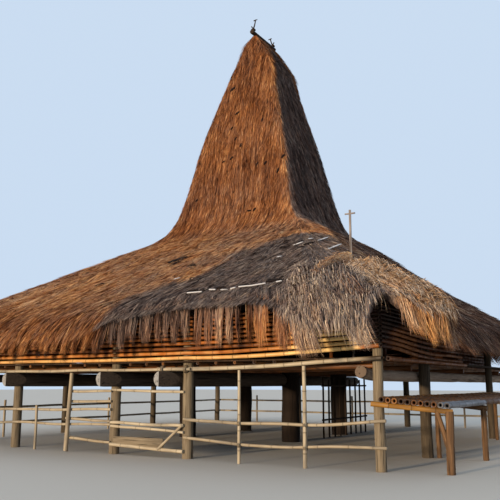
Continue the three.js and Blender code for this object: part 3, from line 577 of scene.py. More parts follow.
# Outline of the thatch from the ridge down: height, half width, half depth, corner radius, and how much
# further the left, right and back sides stand out. The skirt's half depth follows from its half width.
TOWER = [
    (12.62, 0.10, 0.62, 0.06, 0, 0, 0),
    (12.35, 0.27, 0.70, 0.12, 0.06, 0, 0.06),
    (11.61, 0.62, 0.80, 0.16, 0.04, 0.09, 0.12),
    (10.78, 0.87, 0.98, 0.18, 0.08, 0.02, 0.02),
    (10.01, 1.08, 1.14, 0.19, 0.12, 0, 0),
    (9.28, 1.27, 1.29, 0.20, 0.16, 0, 0),
    (8.58, 1.45, 1.42, 0.21, 0.16, 0, 0),
    (7.90, 1.61, 1.53, 0.22, 0.16, 0, 0),
    (7.18, 1.78, 1.66, 0.24, 0.16, 0, 0),
    (6.50, 1.97, 1.82, 0.28, 0.15, 0, 0),
]
SKIRT = [
    (6.10, 2.15, 0.33, 0.12, 0, 0),
    (5.83, 2.37, 0.38, 0.06, 0.23, 0.26),
    (5.62, 2.62, 0.43, 0, 0.32, 0.36),
    (4.90, 3.80, 0.62, -0.18, 0, -0.06),
    (4.10, 5.11, 0.90, -0.30, -0.15, -0.38),
    (3.70, 5.76, 1.08, -0.30, -0.165, -0.38),
    (3.31, 6.40, 1.25, -0.30, -0.18, -0.38),
    (3.05, 6.75, 1.35, -0.22, -0.12, -0.30),
    (2.75, 6.99, 1.42, -0.15, -0.06, -0.22),
    (2.43, 7.14, 1.46, -0.06, -0.02, -0.10),
    (2.12, 7.20, 1.48, 0.111, 0.111, 0),
]
HIP_WIDTH, HIP_DEPTH, HIP_RATIO = 1.98, 1.85, 1.13
# The inner face: height and half width. The tower's grass is TOWER_THICK deep below its fourth level.
INNER = [(6.10, 1.88), (5.567, 2.18), (3.002, 6.40), (2.74, 6.70), (2.43, 6.86), (2.12, 6.91)]
TOWER_THICK = 0.25
CORNER_SHARE, BACK_ROUNDNESS = 0.22, 0.58

# The grass lies in ribs down the slope. Bundles stand proud of it at the near corner: their top, foot, reach
# and height.
RIB_DEPTH, RIB_EAVE, RIB_FULL, RIB_FADE, RIB_TOWER = 0.04, 2.12, 2.9, 4.9, 5.9
BUNDLES = [
    ((5.05, -6.05, 3.75), (5.55, -7.50, 2.60), 0.90, 0.15),
    ((6.05, -5.75, 3.95), (6.85, -7.00, 2.75), 0.55, 0.16),
    ((6.35, -5.60, 3.75), (7.05, -6.60, 2.60), 0.45, 0.14),
    ((6.50, -5.20, 3.60), (7.12, -6.10, 2.60), 0.40, 0.12),
]


def hip_depth(a):
    return HIP_DEPTH + HIP_RATIO * (a - HIP_WIDTH)


def profile_table():
    """Rows of height, left, right, front, back and corner radius, evenly spaced down the slope."""
    rows = [(z, a + left, a + right, b, b + back, r) for z, a, b, r, left, right, back in TOWER]
    for z, a, r, left, right, back in SKIRT:
        rows.append((z, a + left, a + right, hip_depth(a), hip_depth(a) + back, r))
    rows = np.array(rows)
    steps = np.hypot(np.diff(rows[:, 0]), np.diff(rows[:, 1]))
    along = np.concatenate([[0], np.cumsum(steps)])
    fine = np.linspace(0, along[-1], 500)
    table = np.stack([np.interp(fine, along, rows[:, k]) for k in range(6)], 1)
    return fine, rounded(table, 60)


SLOPE, TABLE = profile_table()
SLOPE_END = SLOPE[-1]


def proud(u, place):
    """How far the grass stands out at a place, u round the house."""
    turns = 8 * np.pi * u
    wave = 0.6 * np.sin(9 * turns + 1) + 0.4 * np.sin(5.75 * turns + 2)
    z = place[..., 2]
    ribs = RIB_DEPTH * wave * (1 - smooth(z, RIB_FADE, RIB_TOWER))
    highest = np.zeros_like(z)
    for top, foot, reach, height in BUNDLES:
        highest = np.maximum(highest, height * near_line(place, top, foot, 0.35 * reach, reach))
    return smooth(z, RIB_EAVE, RIB_FULL) * (ribs + highest)


def ring_points(u, reach, radii):
    """Points of rounded rectangles and the ways out of them. u runs once round: right side, back, left and
    front, each with its next corner. reach is how far each side stands out, and radii its next corner's."""
    quarter = np.floor(u * 4).astype(int) % 4
    f = u * 4 - np.floor(u * 4)
    along = np.clip(f / (1 - CORNER_SHARE), 0, 1)
    turn = np.clip((f - 1 + CORNER_SHARE) / CORNER_SHARE, 0, 1) * np.pi / 2
    out, corner = np.choose(quarter, reach), np.choose(quarter, radii)
    last = (quarter + 3) % 4
    start = np.choose(last, radii) - np.choose(last, reach)
    end = np.choose((quarter + 1) % 4, reach) - corner
    a = out - corner + corner * np.cos(turn)
    b = start + (end - start) * along + corner * np.sin(turn)
    c, s = np.cos(quarter * np.pi / 2), np.sin(quarter * np.pi / 2)
    outward = np.stack([np.cos(turn) * c - np.sin(turn) * s, np.cos(turn) * s + np.sin(turn) * c], -1)
    return np.stack([a * c - b * s, a * s + b * c], -1), outward


def roof_point(u, slope):
    """The outer face of the thatch at u round the house, slope metres down from the ridge."""
    z, left, right, front, back, r = (np.interp(slope, SLOPE, TABLE[:, k]) for k in range(6))
    blend = 1 - (1 - BACK_ROUNDNESS) * smooth(-z, -6.5, -5.8)
    p, outward = ring_points(u, (right, back, left, front), (r * blend, r * blend, r, r))
    place = np.concatenate([p, z[..., None]], -1)
    place[..., :2] += outward * proud(u, place)[..., None]
    return place


def roof_normal(u, slope):
    du, ds = 2e-4, 0.02
    around = roof_point(u + du, slope) - roof_point(u - du, slope)
    down = roof_point(u, np.minimum(slope + ds, SLOPE_END)) - roof_point(u, slope - ds)
    return unit(np.cross(down, around))


def slope_at_height(z):
    return np.interp(-z, -TABLE[:, 0], SLOPE)


# Places along the eaves run in metres from the middle of the front, round the near corner, to the right side.
# They are taken at the height EAVE_Z. The left and back eaves are one plain stretch.
EAVE_Z = 2.5
EAVE_TURN, EAVE_RADIUS = (5.67, -6.21), 1.44
FRONT_START, RIGHT_END, PLAIN_EAVE = -6.6, 7.0, -9.0


def eave_run(p):
    x, y = p[..., 0] - EAVE_TURN[0], p[..., 1] - EAVE_TURN[1]
    turn = np.arctan2(np.maximum(x, 0), np.maximum(-y, 1e-6))
    front = (y < 0) & (p[..., 0] > FRONT_START)
    right = (x > 0) & (y >= 0) & (p[..., 1] < RIGHT_END)
    corner_end = EAVE_TURN[0] + EAVE_RADIUS * math.pi / 2
    run = np.where(x > 0, EAVE_TURN[0] + EAVE_RADIUS * turn, p[..., 0])
    run = np.where(right, corner_end + y, run)
    return np.where(front | right, run, PLAIN_EAVE)


# Pairs of a run along the eaves and a value there: height of the thatch's firm lower edge, share of strands
# left below it, height of their tips, how grey they are, how light they are, how far up the slope they start,
# how ruffled they are, and how far their tips drift along the eave.
EDGE = [(-9, 2.5), (-1, 2.55), (0.1, 2.75), (0.5, 2.95), (1.5, 3.05), (2.3, 3.13), (3.5, 3.15),
        (4.65, 3.06), (5.0, 2.8), (5.5, 2.6), (6.32, 2.62), (6.5, 2.98), (6.8, 3.06), (7.06, 2.98),
        (7.2, 2.72), (8.9, 2.72), (9.3, 2.5), (20, 2.5)]
FILL = [(0.3, 1.0), (0.55, 0.62), (1.2, 0.5), (1.45, 0.75), (2.1, 0.42), (2.5, 0.3), (2.58, 0.02),
        (2.85, 0.02), (2.92, 0.62), (3.72, 0.5), (3.8, 0.02), (4.16, 0.02), (4.2, 0.85), (4.38, 0.8),
        (4.42, 0.02), (4.45, 0.3), (4.52, 0.3), (4.56, 0.02), (4.66, 0.02), (4.7, 0.6), (4.94, 0.7),
        (5.05, 1.0), (6.44, 1.0), (6.5, 0.5), (6.66, 0.45), (6.7, 0.03), (7.06, 0.03), (7.1, 1.0),
        (7.4, 1.0), (7.43, 0.08), (7.48, 0.08), (7.51, 1.0), (7.62, 1.0), (7.65, 0.06), (7.72, 0.06),
        (7.75, 1.0), (7.98, 1.0), (8.02, 0.1), (8.1, 0.1), (8.14, 1.0), (8.9, 0.9), (20, 1.0)]
TIPS = [(-9, 2.12), (0.3, 2.12), (0.6, 2.22), (2.5, 2.24), (2.9, 2.13), (3.7, 2.16), (4.2, 2.1),
        (4.4, 2.12), (4.46, 2.34), (4.7, 2.2), (4.95, 1.94), (5.24, 1.9), (5.36, 2.32), (5.98, 2.34),
        (6.1, 2.0), (6.4, 2.02), (6.5, 2.68), (7.06, 2.7), (7.1, 2.35), (7.25, 2.2), (7.4, 2.35),
        (7.5, 2.18), (7.56, 2.04), (7.62, 2.18), (7.76, 2.2), (7.87, 2.06), (7.98, 2.2), (8.14, 2.12),
        (8.4, 2.04), (8.8, 2.08), (20, 2.1)]
GREYED = [(-9, 0.1), (0.2, 0.05), (0.5, 0.95), (2.4, 0.9), (2.9, 0.7), (3.7, 0.65), (4.0, 0.3),
          (4.9, 0.35), (5.2, 0.9), (6.4, 0.9), (6.8, 0.75), (7.1, 0.5), (7.4, 0.4), (7.52, 0.15),
          (7.95, 0.15), (8.1, 0.6), (8.8, 0.75), (12, 0.8), (20, 0.5)]
# Partly painted light: the locks right of the hole at the near corner are lifted where no sun reaches them,
# and the strands just left of the hole are darkened as painted shade.
LIGHTEN = [(-9, -0.02), (0.2, -0.06), (0.6, -0.14), (2.5, -0.12), (3.0, 0.0), (4.8, 0.0), (5.1, 0.28),
           (6.4, 0.26), (6.5, -0.15), (6.7, -0.1), (6.85, 0.6), (8.0, 0.5), (8.2, 0.1), (8.6, -0.1),
           (9.5, -0.2), (20, -0.15)]
CLIMB = [(0.3, 0.85), (0.6, 0.4), (4.7, 0.4), (5.1, 1.5), (6.3, 1.5), (6.8, 1.0), (8.2, 1.0), (9.0, 0.8)]
SHAG = [(0.3, 0.035), (0.6, 0.045), (4.7, 0.04), (5.1, 0.07), (8.2, 0.07), (9.0, 0.04)]
DRIFT = [(5.8, 0.0), (6.1, -0.06), (6.3, -0.14), (6.46, -0.24), (6.54, -0.1), (6.7, 0.0)]
# Width of a lock of strands from the near corner on, and before it.
LOCK, WIDE_LOCK = 0.19, 0.27
CLUMP_HEIGHT = 0.16
# How far the skin and the blades' roots lie below the thatch's face.
SINK = 0.02


def clump(p):
    """Where newer grass stands up on the right of the near corner. It is less grey there, and painted lighter
    partly as light.
    """
    return near_line(p, (5.65, -5.05, 3.72), (6.8, -6.1, 2.95), 0.35, 1.0)


def mop(p):
    """Where the heavy bundle hangs over the near corner."""
    return near_line(p, (5.1, -6.2, 3.62), (5.65, -7.3, 2.6), 0.65, 1.05)


def lumps(p):
    """How far the thatch's tufts stand proud of its face."""
    key = p * np.array([1, 1, 0.35])
    low = 1 - smooth(p[..., 2], 3.0, 6.5)
    tufts = (0.6 + low) * (0.014 * noise(key, 3.4, 11) + 0.010 * noise(key, 8.0, 12))
    return tufts + CLUMP_HEIGHT * clump(p) * (1 + 0.5 * noise(p, 3.0, 13))


def edge_height(u):
    """Height of the thatch's firm lower edge. Loose strands hang below it."""
    p = roof_point(u, np.full_like(u, slope_at_height(EAVE_Z)))
    return curve(eave_run(p), EDGE) + 0.06 * noise(p, 1.9, 21) + 0.04 * noise(p, 5.0, 22)


# The grey patch on the front reaches from the near hip to the worn eave: height, and the X where it starts.
PATCH_START = [(2.9, 0.2), (3.2, 0.3), (3.66, 0.75), (4.04, 1.45), (4.75, 2.1), (5.2, 2.5), (5.5, 5.5)]
# Slope of the tower's hips in plan, as X over Y.
TOWER_HIP = 1.02


def weathering(p):
    """0 where the grass is still warm brown, 1 where it has gone grey."""
    x, y, z = p[..., 0], p[..., 1], p[..., 2]
    streaks = 0.5 * noise(p, 0.7, 41) + 0.35 * noise(p, 2.3, 42)
    patch = smooth(x - curve(z, PATCH_START) + 0.8 * streaks, -0.45, 0.35)
    patch = np.maximum(patch, 0.26 + 0.4 * streaks)
    side = 0.5 + 0.5 * streaks + 0.25 * smooth(np.abs(y + 1), 2, 6)
    front = (y < -1) & (-y > 0.9 * np.abs(x) - 0.5)
    right = x > np.abs(y) * 0.9 - 0.4
    skirt = np.where(front, patch, np.where(right, side, 0.18 + 0.5 * streaks))
    tower_side = smooth(x - TOWER_HIP * np.abs(y), 0.04, 0.16)
    tower = np.clip(0.1 + 0.3 * streaks, 0, 1) * (1 - tower_side) + 0.8 * tower_side
    share = smooth(z, 5.75, 6.1)
    return np.clip(skirt * (1 - share) * (1 - 0.22 * clump(p)) + tower * share, 0, 1)


def tone_and_painted_light(p):
    """Lighter and darker areas of the roof, added to the tone. The hip's strip is a painted highlight and the
    near corner's lift is partly painted light.
    """
    x, y, z = p[..., 0], p[..., 1], p[..., 2]
    past_hip = x - np.abs(y) * TOWER_HIP
    # The strip along the tower's hip is a painted highlight.
    hip = 0.2 * np.exp(-(((past_hip + 0.05) / 0.16) ** 2)) * (z > 6.3) * (y < 0)
    foot = 0.12 * np.exp(-(((z - 5.9) / 0.22) ** 2)) * smooth(x, 0.8, 2.2) * (y < 0)
    skirt_left = 0.52 * (1 - smooth(z, 5.0, 6.2)) * (y < -1) * (1 - weathering(p)) * smooth(z, 2.9, 3.5)
    right_eave = -0.2 * (1 - smooth(z, 2.9, 3.4)) * smooth(y, -5.6, -4.6) * (x > 3)
    tower_side = -0.16 * smooth(z, 5.9, 6.4) * smooth(past_hip, 0.1, 0.25)
    tower_front = -0.07 * smooth(z, 6.4, 7.5)
    # The lift at the near corner is partly painted light, on grass that the sun does not reach.
    corner = 0.78 * clump(p) + 0.22 * mop(p)
    return hip + foot + skirt_left + right_eave + corner + tower_side + tower_front


def grain_of(p, n):
    """The material's strand direction and the distance down the roof."""
    across = smooth(np.abs(n[..., 0]) - np.abs(n[..., 1]), -0.25, 0.25)
    return np.stack([across, slope_at_height(p[..., 2]), np.zeros(across.shape)], -1)


# The skin's points round the house, its rows down the outer face, and those on the upper half of the slope.
AROUND, DOWN, UPPER_DOWN = 440, 112, 45


def inner_face(u, edge_z):
    """Rows of points of the inner face, from the eave back up to the tower's top."""
    rows = []
    inner_z, inner_a = np.array(INNER)[::-1].T
    for share in np.linspace(0, 1, 9):
        z = edge_z + 0.04 + (INNER[0][0] - edge_z - 0.04) * share**1.2
        a = np.interp(z, inner_z, inner_a)
        b = hip_depth(a)
        radius = 0.48 + np.where(a < 6.4, 0.08, 1.4) * (a - 6.4)
        ring, _ = ring_points(u, (a, b, a, b), (radius,) * 4)
        rows.append(np.concatenate([ring, z[:, None]], -1))
    for z, a, b, r, *_ in reversed(TOWER[3:]):
        a, b = a - TOWER_THICK, b - TOWER_THICK
        ring, _ = ring_points(u, (a, b, a, b), (r / 2,) * 4)
        rows.append(np.concatenate([ring, np.full((len(u), 1), z)], -1))
    return np.stack(rows)


def make_roof_skin():
    """The thatch's firm body, a closed shell. The loose grass lies on it."""
    heap = Heap()
    u = (np.arange(AROUND) + 0.5) / AROUND
    limit = slope_at_height(edge_height(u))
    v = np.concatenate([np.linspace(0, 0.5, UPPER_DOWN + 1)[:-1], np.linspace(0.5, 1, DOWN - UPPER_DOWN)])
    slope = limit[None, :] * v[:, None]
    uu = np.broadcast_to(u, slope.shape)
    p, n = roof_point(uu, slope), roof_normal(uu, slope)
    outer = p + n * (lumps(p) * smooth(slope, 0, 0.5) - SINK)[..., None]
    rows = np.concatenate([outer, inner_face(u, p[-1, :, 2])])
    tone = 0.42 + 0.08 * noise(rows * np.array([1, 1, 0.3]), 5.0, 31) + tone_and_painted_light(rows)
    tone[DOWN:] = 0.3
    normals = np.concatenate([n, np.repeat(n[-1:], len(rows) - DOWN, 0)])
    grain = grain_of(rows, normals).reshape(-1, 3)
    faces = grid_faces(len(rows), AROUND, True)[:, ::-1]
    heap.add(rows.reshape(-1, 3), [faces], tone.ravel(), weathering(rows).ravel(), grain)
    for rim, lift in ((rows[0], 0.03), (rows[-1], 0)):
        heap.add(np.vstack([rim, rim.mean(0) + [0, 0, lift]]), [fan(AROUND)], 0.3, 0.2)
    sides = ("front", "back", "left", "right")
    names = [f"{side}_{part}_thatch" for part in ("tower", "skirt") for side in sides]
    heap.build("roof_thatch", "thatch", "skirt_thatch", names)


def blades(heap, centres, across, widths, tones, greys, grain):
    """Flat tapering blades of grass along rows of centre points, the last of which is the tip."""
    count, rows = centres.shape[:2]
    level = np.linspace(0, 1, rows)
    half = (widths[:, None] * (1 - 0.45 * level[:-1]) / 2)[..., None] * across[:, None]
    pairs = np.stack([centres[:, :-1] - half, centres[:, :-1] + half], 2).reshape(count, -1, 3)
    points = np.concatenate([pairs, centres[:, -1:]], 1)
    per = points.shape[1]
    base = np.arange(count)[:, None] * per
    quads = [base + np.array([2 * i, 2 * i + 1, 2 * i + 3, 2 * i + 2]) for i in range(rows - 2)]
    shapes = [np.concatenate(quads), base + np.array([per - 3, per - 2, per - 1])]
    spread = np.concatenate([np.repeat(np.arange(rows - 1), 2), [rows - 1]])
    marks = greys[:, spread].ravel()
    heap.add(points.reshape(-1, 3), shapes, tones[:, spread].ravel(), marks, np.repeat(grain, per, 0))


def side_places(quarter, count):
    """Random places round the house that lie on one side: 0 right, 1 back, 2 left, 3 front."""
    return ((quarter + rng.uniform(0, 1, count)) / 4 - CORNER_SHARE / 8) % 1


def scatter(count, low_slope, high_slope, quarter):
    """Random places on one side of the thatch, evenly spread by area."""
    kept_u, kept_s = [], []
    need = count
    while need > 0:
        u = side_places(quarter, 4 * need)
        s = rng.uniform(low_slope, high_slope, 4 * need)
        stretch = np.linalg.norm(roof_point(u + 1e-3, s) - roof_point(u, s), axis=1)
        keep = rng.uniform(0, 1, len(u)) < stretch / 0.085
        kept_u.append(u[keep][:need])
        kept_s.append(s[keep][:need])
        need -= len(kept_u[-1])
    return np.concatenate(kept_u), np.concatenate(kept_s)


# Loose grass: blades on the tower and the skirt for each side, the height where the skirt's begins, and each
# blade's length, width and lift. SPLAY is the way that the grass at the near corner is combed.
GRASS_COUNTS = {"right": (9000, 20000), "back": (6000, 12200), "left": (6000, 12200), "front": (13000, 30000)}
TOWER_FOOT = 6.2
TOWER_BLADE, SKIRT_BLADE = (0.34, 0.016, 0.02), (0.42, 0.017, 0.025)
SPLAY = np.array([0.56, -0.83, -0.9])


def grass_on(name, count, low_slope, high_slope, quarter, blade, slot):
    """Blades that lie on the thatch along its slope."""
    heap = Heap()
    length, width, lift = blade
    u, s = scatter(count, low_slope, high_slope, quarter)
    s = np.minimum(s, slope_at_height(edge_height(u)) - 0.1)
    p, n = roof_point(u, s), roof_normal(u, s)
    root = p + n * (lumps(p) - SINK)[:, None]
    down = unit(np.array([0, 0, -1.0]) + n * n[:, 2:3])
    shaggy = np.maximum(mop(p), clump(p))
    down = unit(down + 2.5 * shaggy[:, None] * unit(SPLAY - n * (n @ SPLAY)[:, None]))
    side = np.cross(n, down)
    sway = 0.16 * noise(p, 2.2, 51) + 0.08 * noise(p, 7.0, 52) + rng.normal(0, 0.07, count)
    along = unit(down + side * sway[:, None])
    lengths = length * rng.uniform(0.55, 1.25, count)
    widths = width * rng.uniform(0.6, 1.4, count)
    lifts = lift * rng.uniform(0.25, 1.2, count) ** 1.5 + 0.1 * clump(p) * rng.uniform(0, 1, count)
    level = np.array([0, 0.5, 1])
    rise = 0.03 * np.sin(level * 1.6)[None] + lifts[:, None] * level[None] ** 1.5
    rise = rise + (0.13 * shaggy * rng.uniform(0, 1, count))[:, None] * np.sin(level * math.pi)
    reach = lengths[:, None] * level
    centres = root[:, None] + along[:, None] * reach[..., None] + n[:, None] * rise[..., None]
    roll = rng.uniform(-0.7, 0.7, count)[:, None]
    across = unit(side * np.cos(roll) + n * np.sin(roll))
    tone = 0.44 + 0.10 * noise(p * [1, 1, 0.35], 4.5, 53) + 0.07 * noise(p, 1.1, 54)
    tone = tone + rng.normal(0, 0.19, count)
    # Each blade is darker towards its root: painted shade where it lies under the others.
    tones = np.clip((tone + tone_and_painted_light(p))[:, None] * (0.75 + 0.3 * level), 0.03, 1)
    grey = np.clip(weathering(p) + rng.normal(0, 0.12, count), 0, 1)
    blades(heap, centres, across, widths, tones, np.repeat(grey[:, None], 3, 1), grain_of(p, n))
    heap.build(name, "thatch", slot, flat=True)


def make_grass():
    foot = slope_at_height(TOWER_FOOT)
    end = slope_at_height(EAVE_Z)
    for quarter, (side, (tower, skirt)) in enumerate(GRASS_COUNTS.items()):
        grass_on(f"tower_grass_{side}", tower, 0.05, foot, quarter, TOWER_BLADE, "tower_thatch")
        grass_on(f"skirt_grass_{side}", skirt, foot, end, quarter, SKIRT_BLADE, "skirt_thatch")


# Fringe: strands for each side, how many places are tried for each, a strand's width, and the places of its
# points from its root at 0 to its tip at 1.
FRINGE_COUNTS = {"right": 14000, "back": 7000, "left": 7000, "front": 20000}
TRIES, STRAND_WIDTH = 6, 0.016
STRAND_LEVELS = np.linspace(0, 1, 5)


def eave_places(quarter, count):
    """Random places along one eave where strands are left. Each has its run, its point on the eave, the width
    of its lock, its way off the lock's middle from -0.5 to 0.5, and a key that the lock's strands share."""
    u = side_places(quarter, TRIES * count)
    eave = roof_point(u, np.full(len(u), slope_at_height(EAVE_Z)))
    run = eave_run(eave)
    near = run > EAVE_TURN[0]
    lock = np.where(near, LOCK, WIDE_LOCK)
    steady = eave[:, 1] if quarter % 2 == 0 else eave[:, 0]
    cell = np.where(near, run, steady) / lock + 0.5 * noise(eave, 2.4, 65)
    key = np.stack([np.floor(cell) * 3.7, np.full(len(u), quarter * 9.0), np.zeros(len(u))], 1)
    missing = smooth(noise(key, 1, 68), -0.1, 0.5) * smooth(curve(run, FILL), 1.0, 0.4)
    keep = rng.uniform(0, 1, len(u)) < curve(run, FILL) * (1 - 0.75 * missing)
    off_middle = cell - np.floor(cell) - 0.5
    return [a[keep][:count] for a in (u, run, eave, lock, off_middle, key)]


def hanging(u, low_z, high_slope):
    """Points down the thatch from high_slope to a tip at low_z, which can be lower than the thatch's edge."""
    level = STRAND_LEVELS
    low_slope = slope_at_height(np.maximum(low_z, TABLE[-1, 0] + 0.01))
    slope = high_slope[:, None] + (low_slope - high_slope)[:, None] * level
    uu = np.repeat(u[:, None], len(level), 1)
    p, n = roof_point(uu, slope), roof_normal(uu, slope)
    p[..., 2] -= (p[:, -1, 2] - low_z)[:, None] * level**2
    return p, n


def over_worn_edge(centres, n, u, run, edge_z):
    """Where the eave has worn away, the strands bend over the edge that is left and hang straight."""
    slope = slope_at_height(edge_z)
    brink = roof_point(u, slope) + 0.05 * roof_normal(u, slope)
    worn = smooth(curve(run, EDGE), 2.8, 3.0)[:, None]
    centres = centres + (0.05 * worn * np.sin(STRAND_LEVELS * math.pi))[..., None] * n
    straight = 0.8 * worn * smooth(edge_z[:, None] - centres[..., 2], -0.05, 0.1)
    centres[..., :2] += straight[..., None] * (brink[:, None, :2] - centres[..., :2])
    return centres


def strand_falls(u, run, eave, key, rim):
    """Strands from the slope down to their tips. Gives the points of the thatch along each, the ways out of
    it there, the strand's own points, and how deep it lies in the fringe."""
    count = len(u)
    edge_z = edge_height(u)
    start_z = edge_z + 0.04 + curve(run, CLIMB) * rng.uniform(0, 1, count) ** 1.3
    ragged = 0.05 * noise(eave, 1.8, 63) + 0.09 * noise(key, 1, 64) + 0.12 * rim
    tip_z = curve(run, TIPS) + ragged + np.abs(rng.normal(0, 0.11, count))
    tip_z = np.minimum(tip_z + 0.3 * rng.uniform(0, 1, count) ** 4, start_z - 0.15)
    p, n = hanging(u, tip_z, slope_at_height(start_z))
    depth = rng.uniform(0, 1, count) ** 2
    centres = p + n * (lumps(p) - SINK + 0.05 * STRAND_LEVELS - 0.12 * depth[:, None])[..., None]
    return p, n, over_worn_edge(centres, n, u, run, edge_z), depth


def ruffle(centres, out, run, pull):
    """Moves the strands' points along the eave and out of it, and gives the way across each strand."""
    level = STRAND_LEVELS
    count = len(run)
    shag = curve(run, SHAG)
    sideways = unit(np.cross(np.array([0, 0, 1.0]), out))
    lean = (pull + rng.normal(0, 1, count) * shag)[:, None] * level**1.3
    lean = lean + (rng.normal(0, 0.5, count) * shag)[:, None] * np.sin(level * math.pi)
    lean = lean + curve(run, DRIFT)[:, None] * level
    flick = (rng.normal(0.2, 0.5, count) * shag)[:, None] * level**2
    centres += lean[..., None] * sideways[:, None] + flick[..., None] * out[:, None]
    roll = rng.uniform(-1.0, 1.0, count)[:, None]
    return unit(sideways * np.cos(roll) + out * np.sin(roll))


def strand_shades(run, key, p, depth, rim):
    """The tones and the greyness of strands along their points, with painted shade deep in the fringe and
    between locks.
    """
    level = STRAND_LEVELS
    count = len(run)
    # Strands deep in the fringe and at a lock's edges are darker: painted shade inside the fringe and in the
    # gaps between locks.
    tone = 0.6 + 0.13 * noise(key, 1, 66) + rng.normal(0, 0.2, count) + curve(run, LIGHTEN) - 0.4 * depth
    tone = tone - 0.4 * rim
    # Away from the near corner the tips are lighter and fresher.
    away = (1 - np.exp(-(((run - 5.8) / 0.7) ** 4)))[:, None]
    tones = np.clip(tone[:, None] * (0.85 - 0.1 * away + (0.15 + 0.2 * away) * level), 0.02, 1)
    grey = np.clip(curve(run, GREYED) + 0.25 * noise(key, 1, 67) + rng.normal(0, 0.15, count), 0, 1)
    older = np.maximum(weathering(p) - grey[:, None], 0) * smooth(level, 0.7, 0.3)
    return tones, np.clip(grey[:, None] + older - 0.25 * away * level**2, 0, 1)


def fringe(name, quarter, count):
    """Strands that leave the slope near the eave, bend over it and hang, drawn together into locks."""
    heap = Heap()
    u, run, eave, lock, off_middle, key = eave_places(quarter, count)
    rim = (2 * np.abs(off_middle)) ** 3
    p, n, centres, depth = strand_falls(u, run, eave, key, rim)
    # The strands of one lock lean towards its middle.
    across = ruffle(centres, n[:, -1], run, -off_middle * lock * 0.8)
    tones, greys = strand_shades(run, key, p, depth, rim)
    widths = STRAND_WIDTH * rng.uniform(0.5, 1.4, len(u))
    blades(heap, centres, across, widths, tones, greys, grain_of(p[:, 0], n[:, 0]))
    heap.build(name, "thatch", "skirt_thatch", flat=True)


def make_fringe():
    for quarter, (side, count) in enumerate(FRINGE_COUNTS.items()):
        fringe(f"eave_fringe_{side}", quarter, count)


# Walls, of bamboo poles laid in courses

# The posts' outer faces lie SIDE_LINE and END_LINE from the middle, and the walls' poles WALL_OUT further.
SIDE_LINE, END_LINE, WALL_OUT = 6.16, 6.56, 0.0443
DECK_TOP, LOG_TOP = 1.9746, 1.766
COURSE_COUNT, FIRST_COURSE, FIRST_RADIUS, FIRST_PITCH = 10, 0.0511, 0.044, 0.107
RADIUS_STEP, PITCH_STEP = 0.0016, 0.003
SWEEP_RISE, SWEEP_REACH = 0.15, 1.7
VERANDA_X, VERANDA_Y, DOOR_END = 5.0, -1.25, -0.25
CLEAR = 0.0003
COURSE = dict(knots=0.42, wander=0.012, rough=0.02, bore=0.6, taper=0.08)
STUD_IN, STUD_OUT, STUD_HALF = 0.084, 0.034, 0.03


def sweep(distance):
    """How far the floor's edge is swept up, by the distance from the near corner."""
    return SWEEP_RISE * np.exp(-((distance / SWEEP_REACH) ** 2))


def quarter_turn(turn):
    """A function that turns a place by quarters round the middle of the house, from the front."""
    c, s = round(math.cos(turn * math.pi / 2)), round(math.sin(turn * math.pi / 2))
    return lambda x, y, z: (c * x - s * y, s * x + c * y, z)


def corner_painted_light(tone):
    """Tone of a wall's pole with painted light: painted shade right at the near corner and on its upper
    courses, and painted sunlight beside it on the lower courses.
    """

    def shade(p):
        corner = np.hypot(p[..., 0] - SIDE_LINE, p[..., 1] + END_LINE)
        near = 1 - smooth(corner, 0.4, 1.2)
        # Painted shade at the corner and on its upper courses, and painted sunlight on the lower courses
        # beside it.
        dark = np.maximum(near * smooth(p[..., 2], 2.4, 2.7), 1 - smooth(corner, 0.35, 0.6))
        light = (1 - smooth(corner, 1.4, 2.0)) * (1 - smooth(p[..., 2], 2.4, 2.6))
        return tone + light - 1.6 * dark

    return shade


def wall(node, look, turn, start, end, line, studs, rise=None, tones=(0.75, 0.5), thick=1.0):
    """Courses from start to end along the wall, which is turned by quarters from the front. Studs stand
    inside. tones are those of the lowest course and of the third and all above it."""
    heap = Heap()
    placed = quarter_turn(turn)
    stud_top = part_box(node)[1][2]
    z = DECK_TOP + FIRST_COURSE
    for i in range(COURSE_COUNT):
        xs = np.linspace(start, end, 9)
        lift = (1 - i / (COURSE_COUNT - 1)) * (rise(xs) if rise else 0 * xs)
        path = [placed(x, line, z + up) for x, up in zip(xs, lift)]
        if rng.uniform() < 0.5:
            path = path[::-1]
        # Lower courses are lighter and upper ones darker: partly the poles' own colour, partly painted shade
        # under the eaves.
        tone = tones[0] + (tones[1] - tones[0]) * min(1, i / 2.0) + rng.uniform(-0.12, 0.12)
        pole(heap, path, (FIRST_RADIUS - RADIUS_STEP * i) * thick, corner_painted_light(tone), **COURSE)
        z += FIRST_PITCH - PITCH_STEP * i
    for x in studs:
        a = placed(x - STUD_HALF, line + STUD_OUT, DECK_TOP)
        b = placed(x + STUD_HALF, line + STUD_IN, stud_top)
        plank(heap, np.minimum(a, b), np.maximum(a, b), 0.0, 2)
    heap.build(node + "_poles", look, "bamboo", [node])


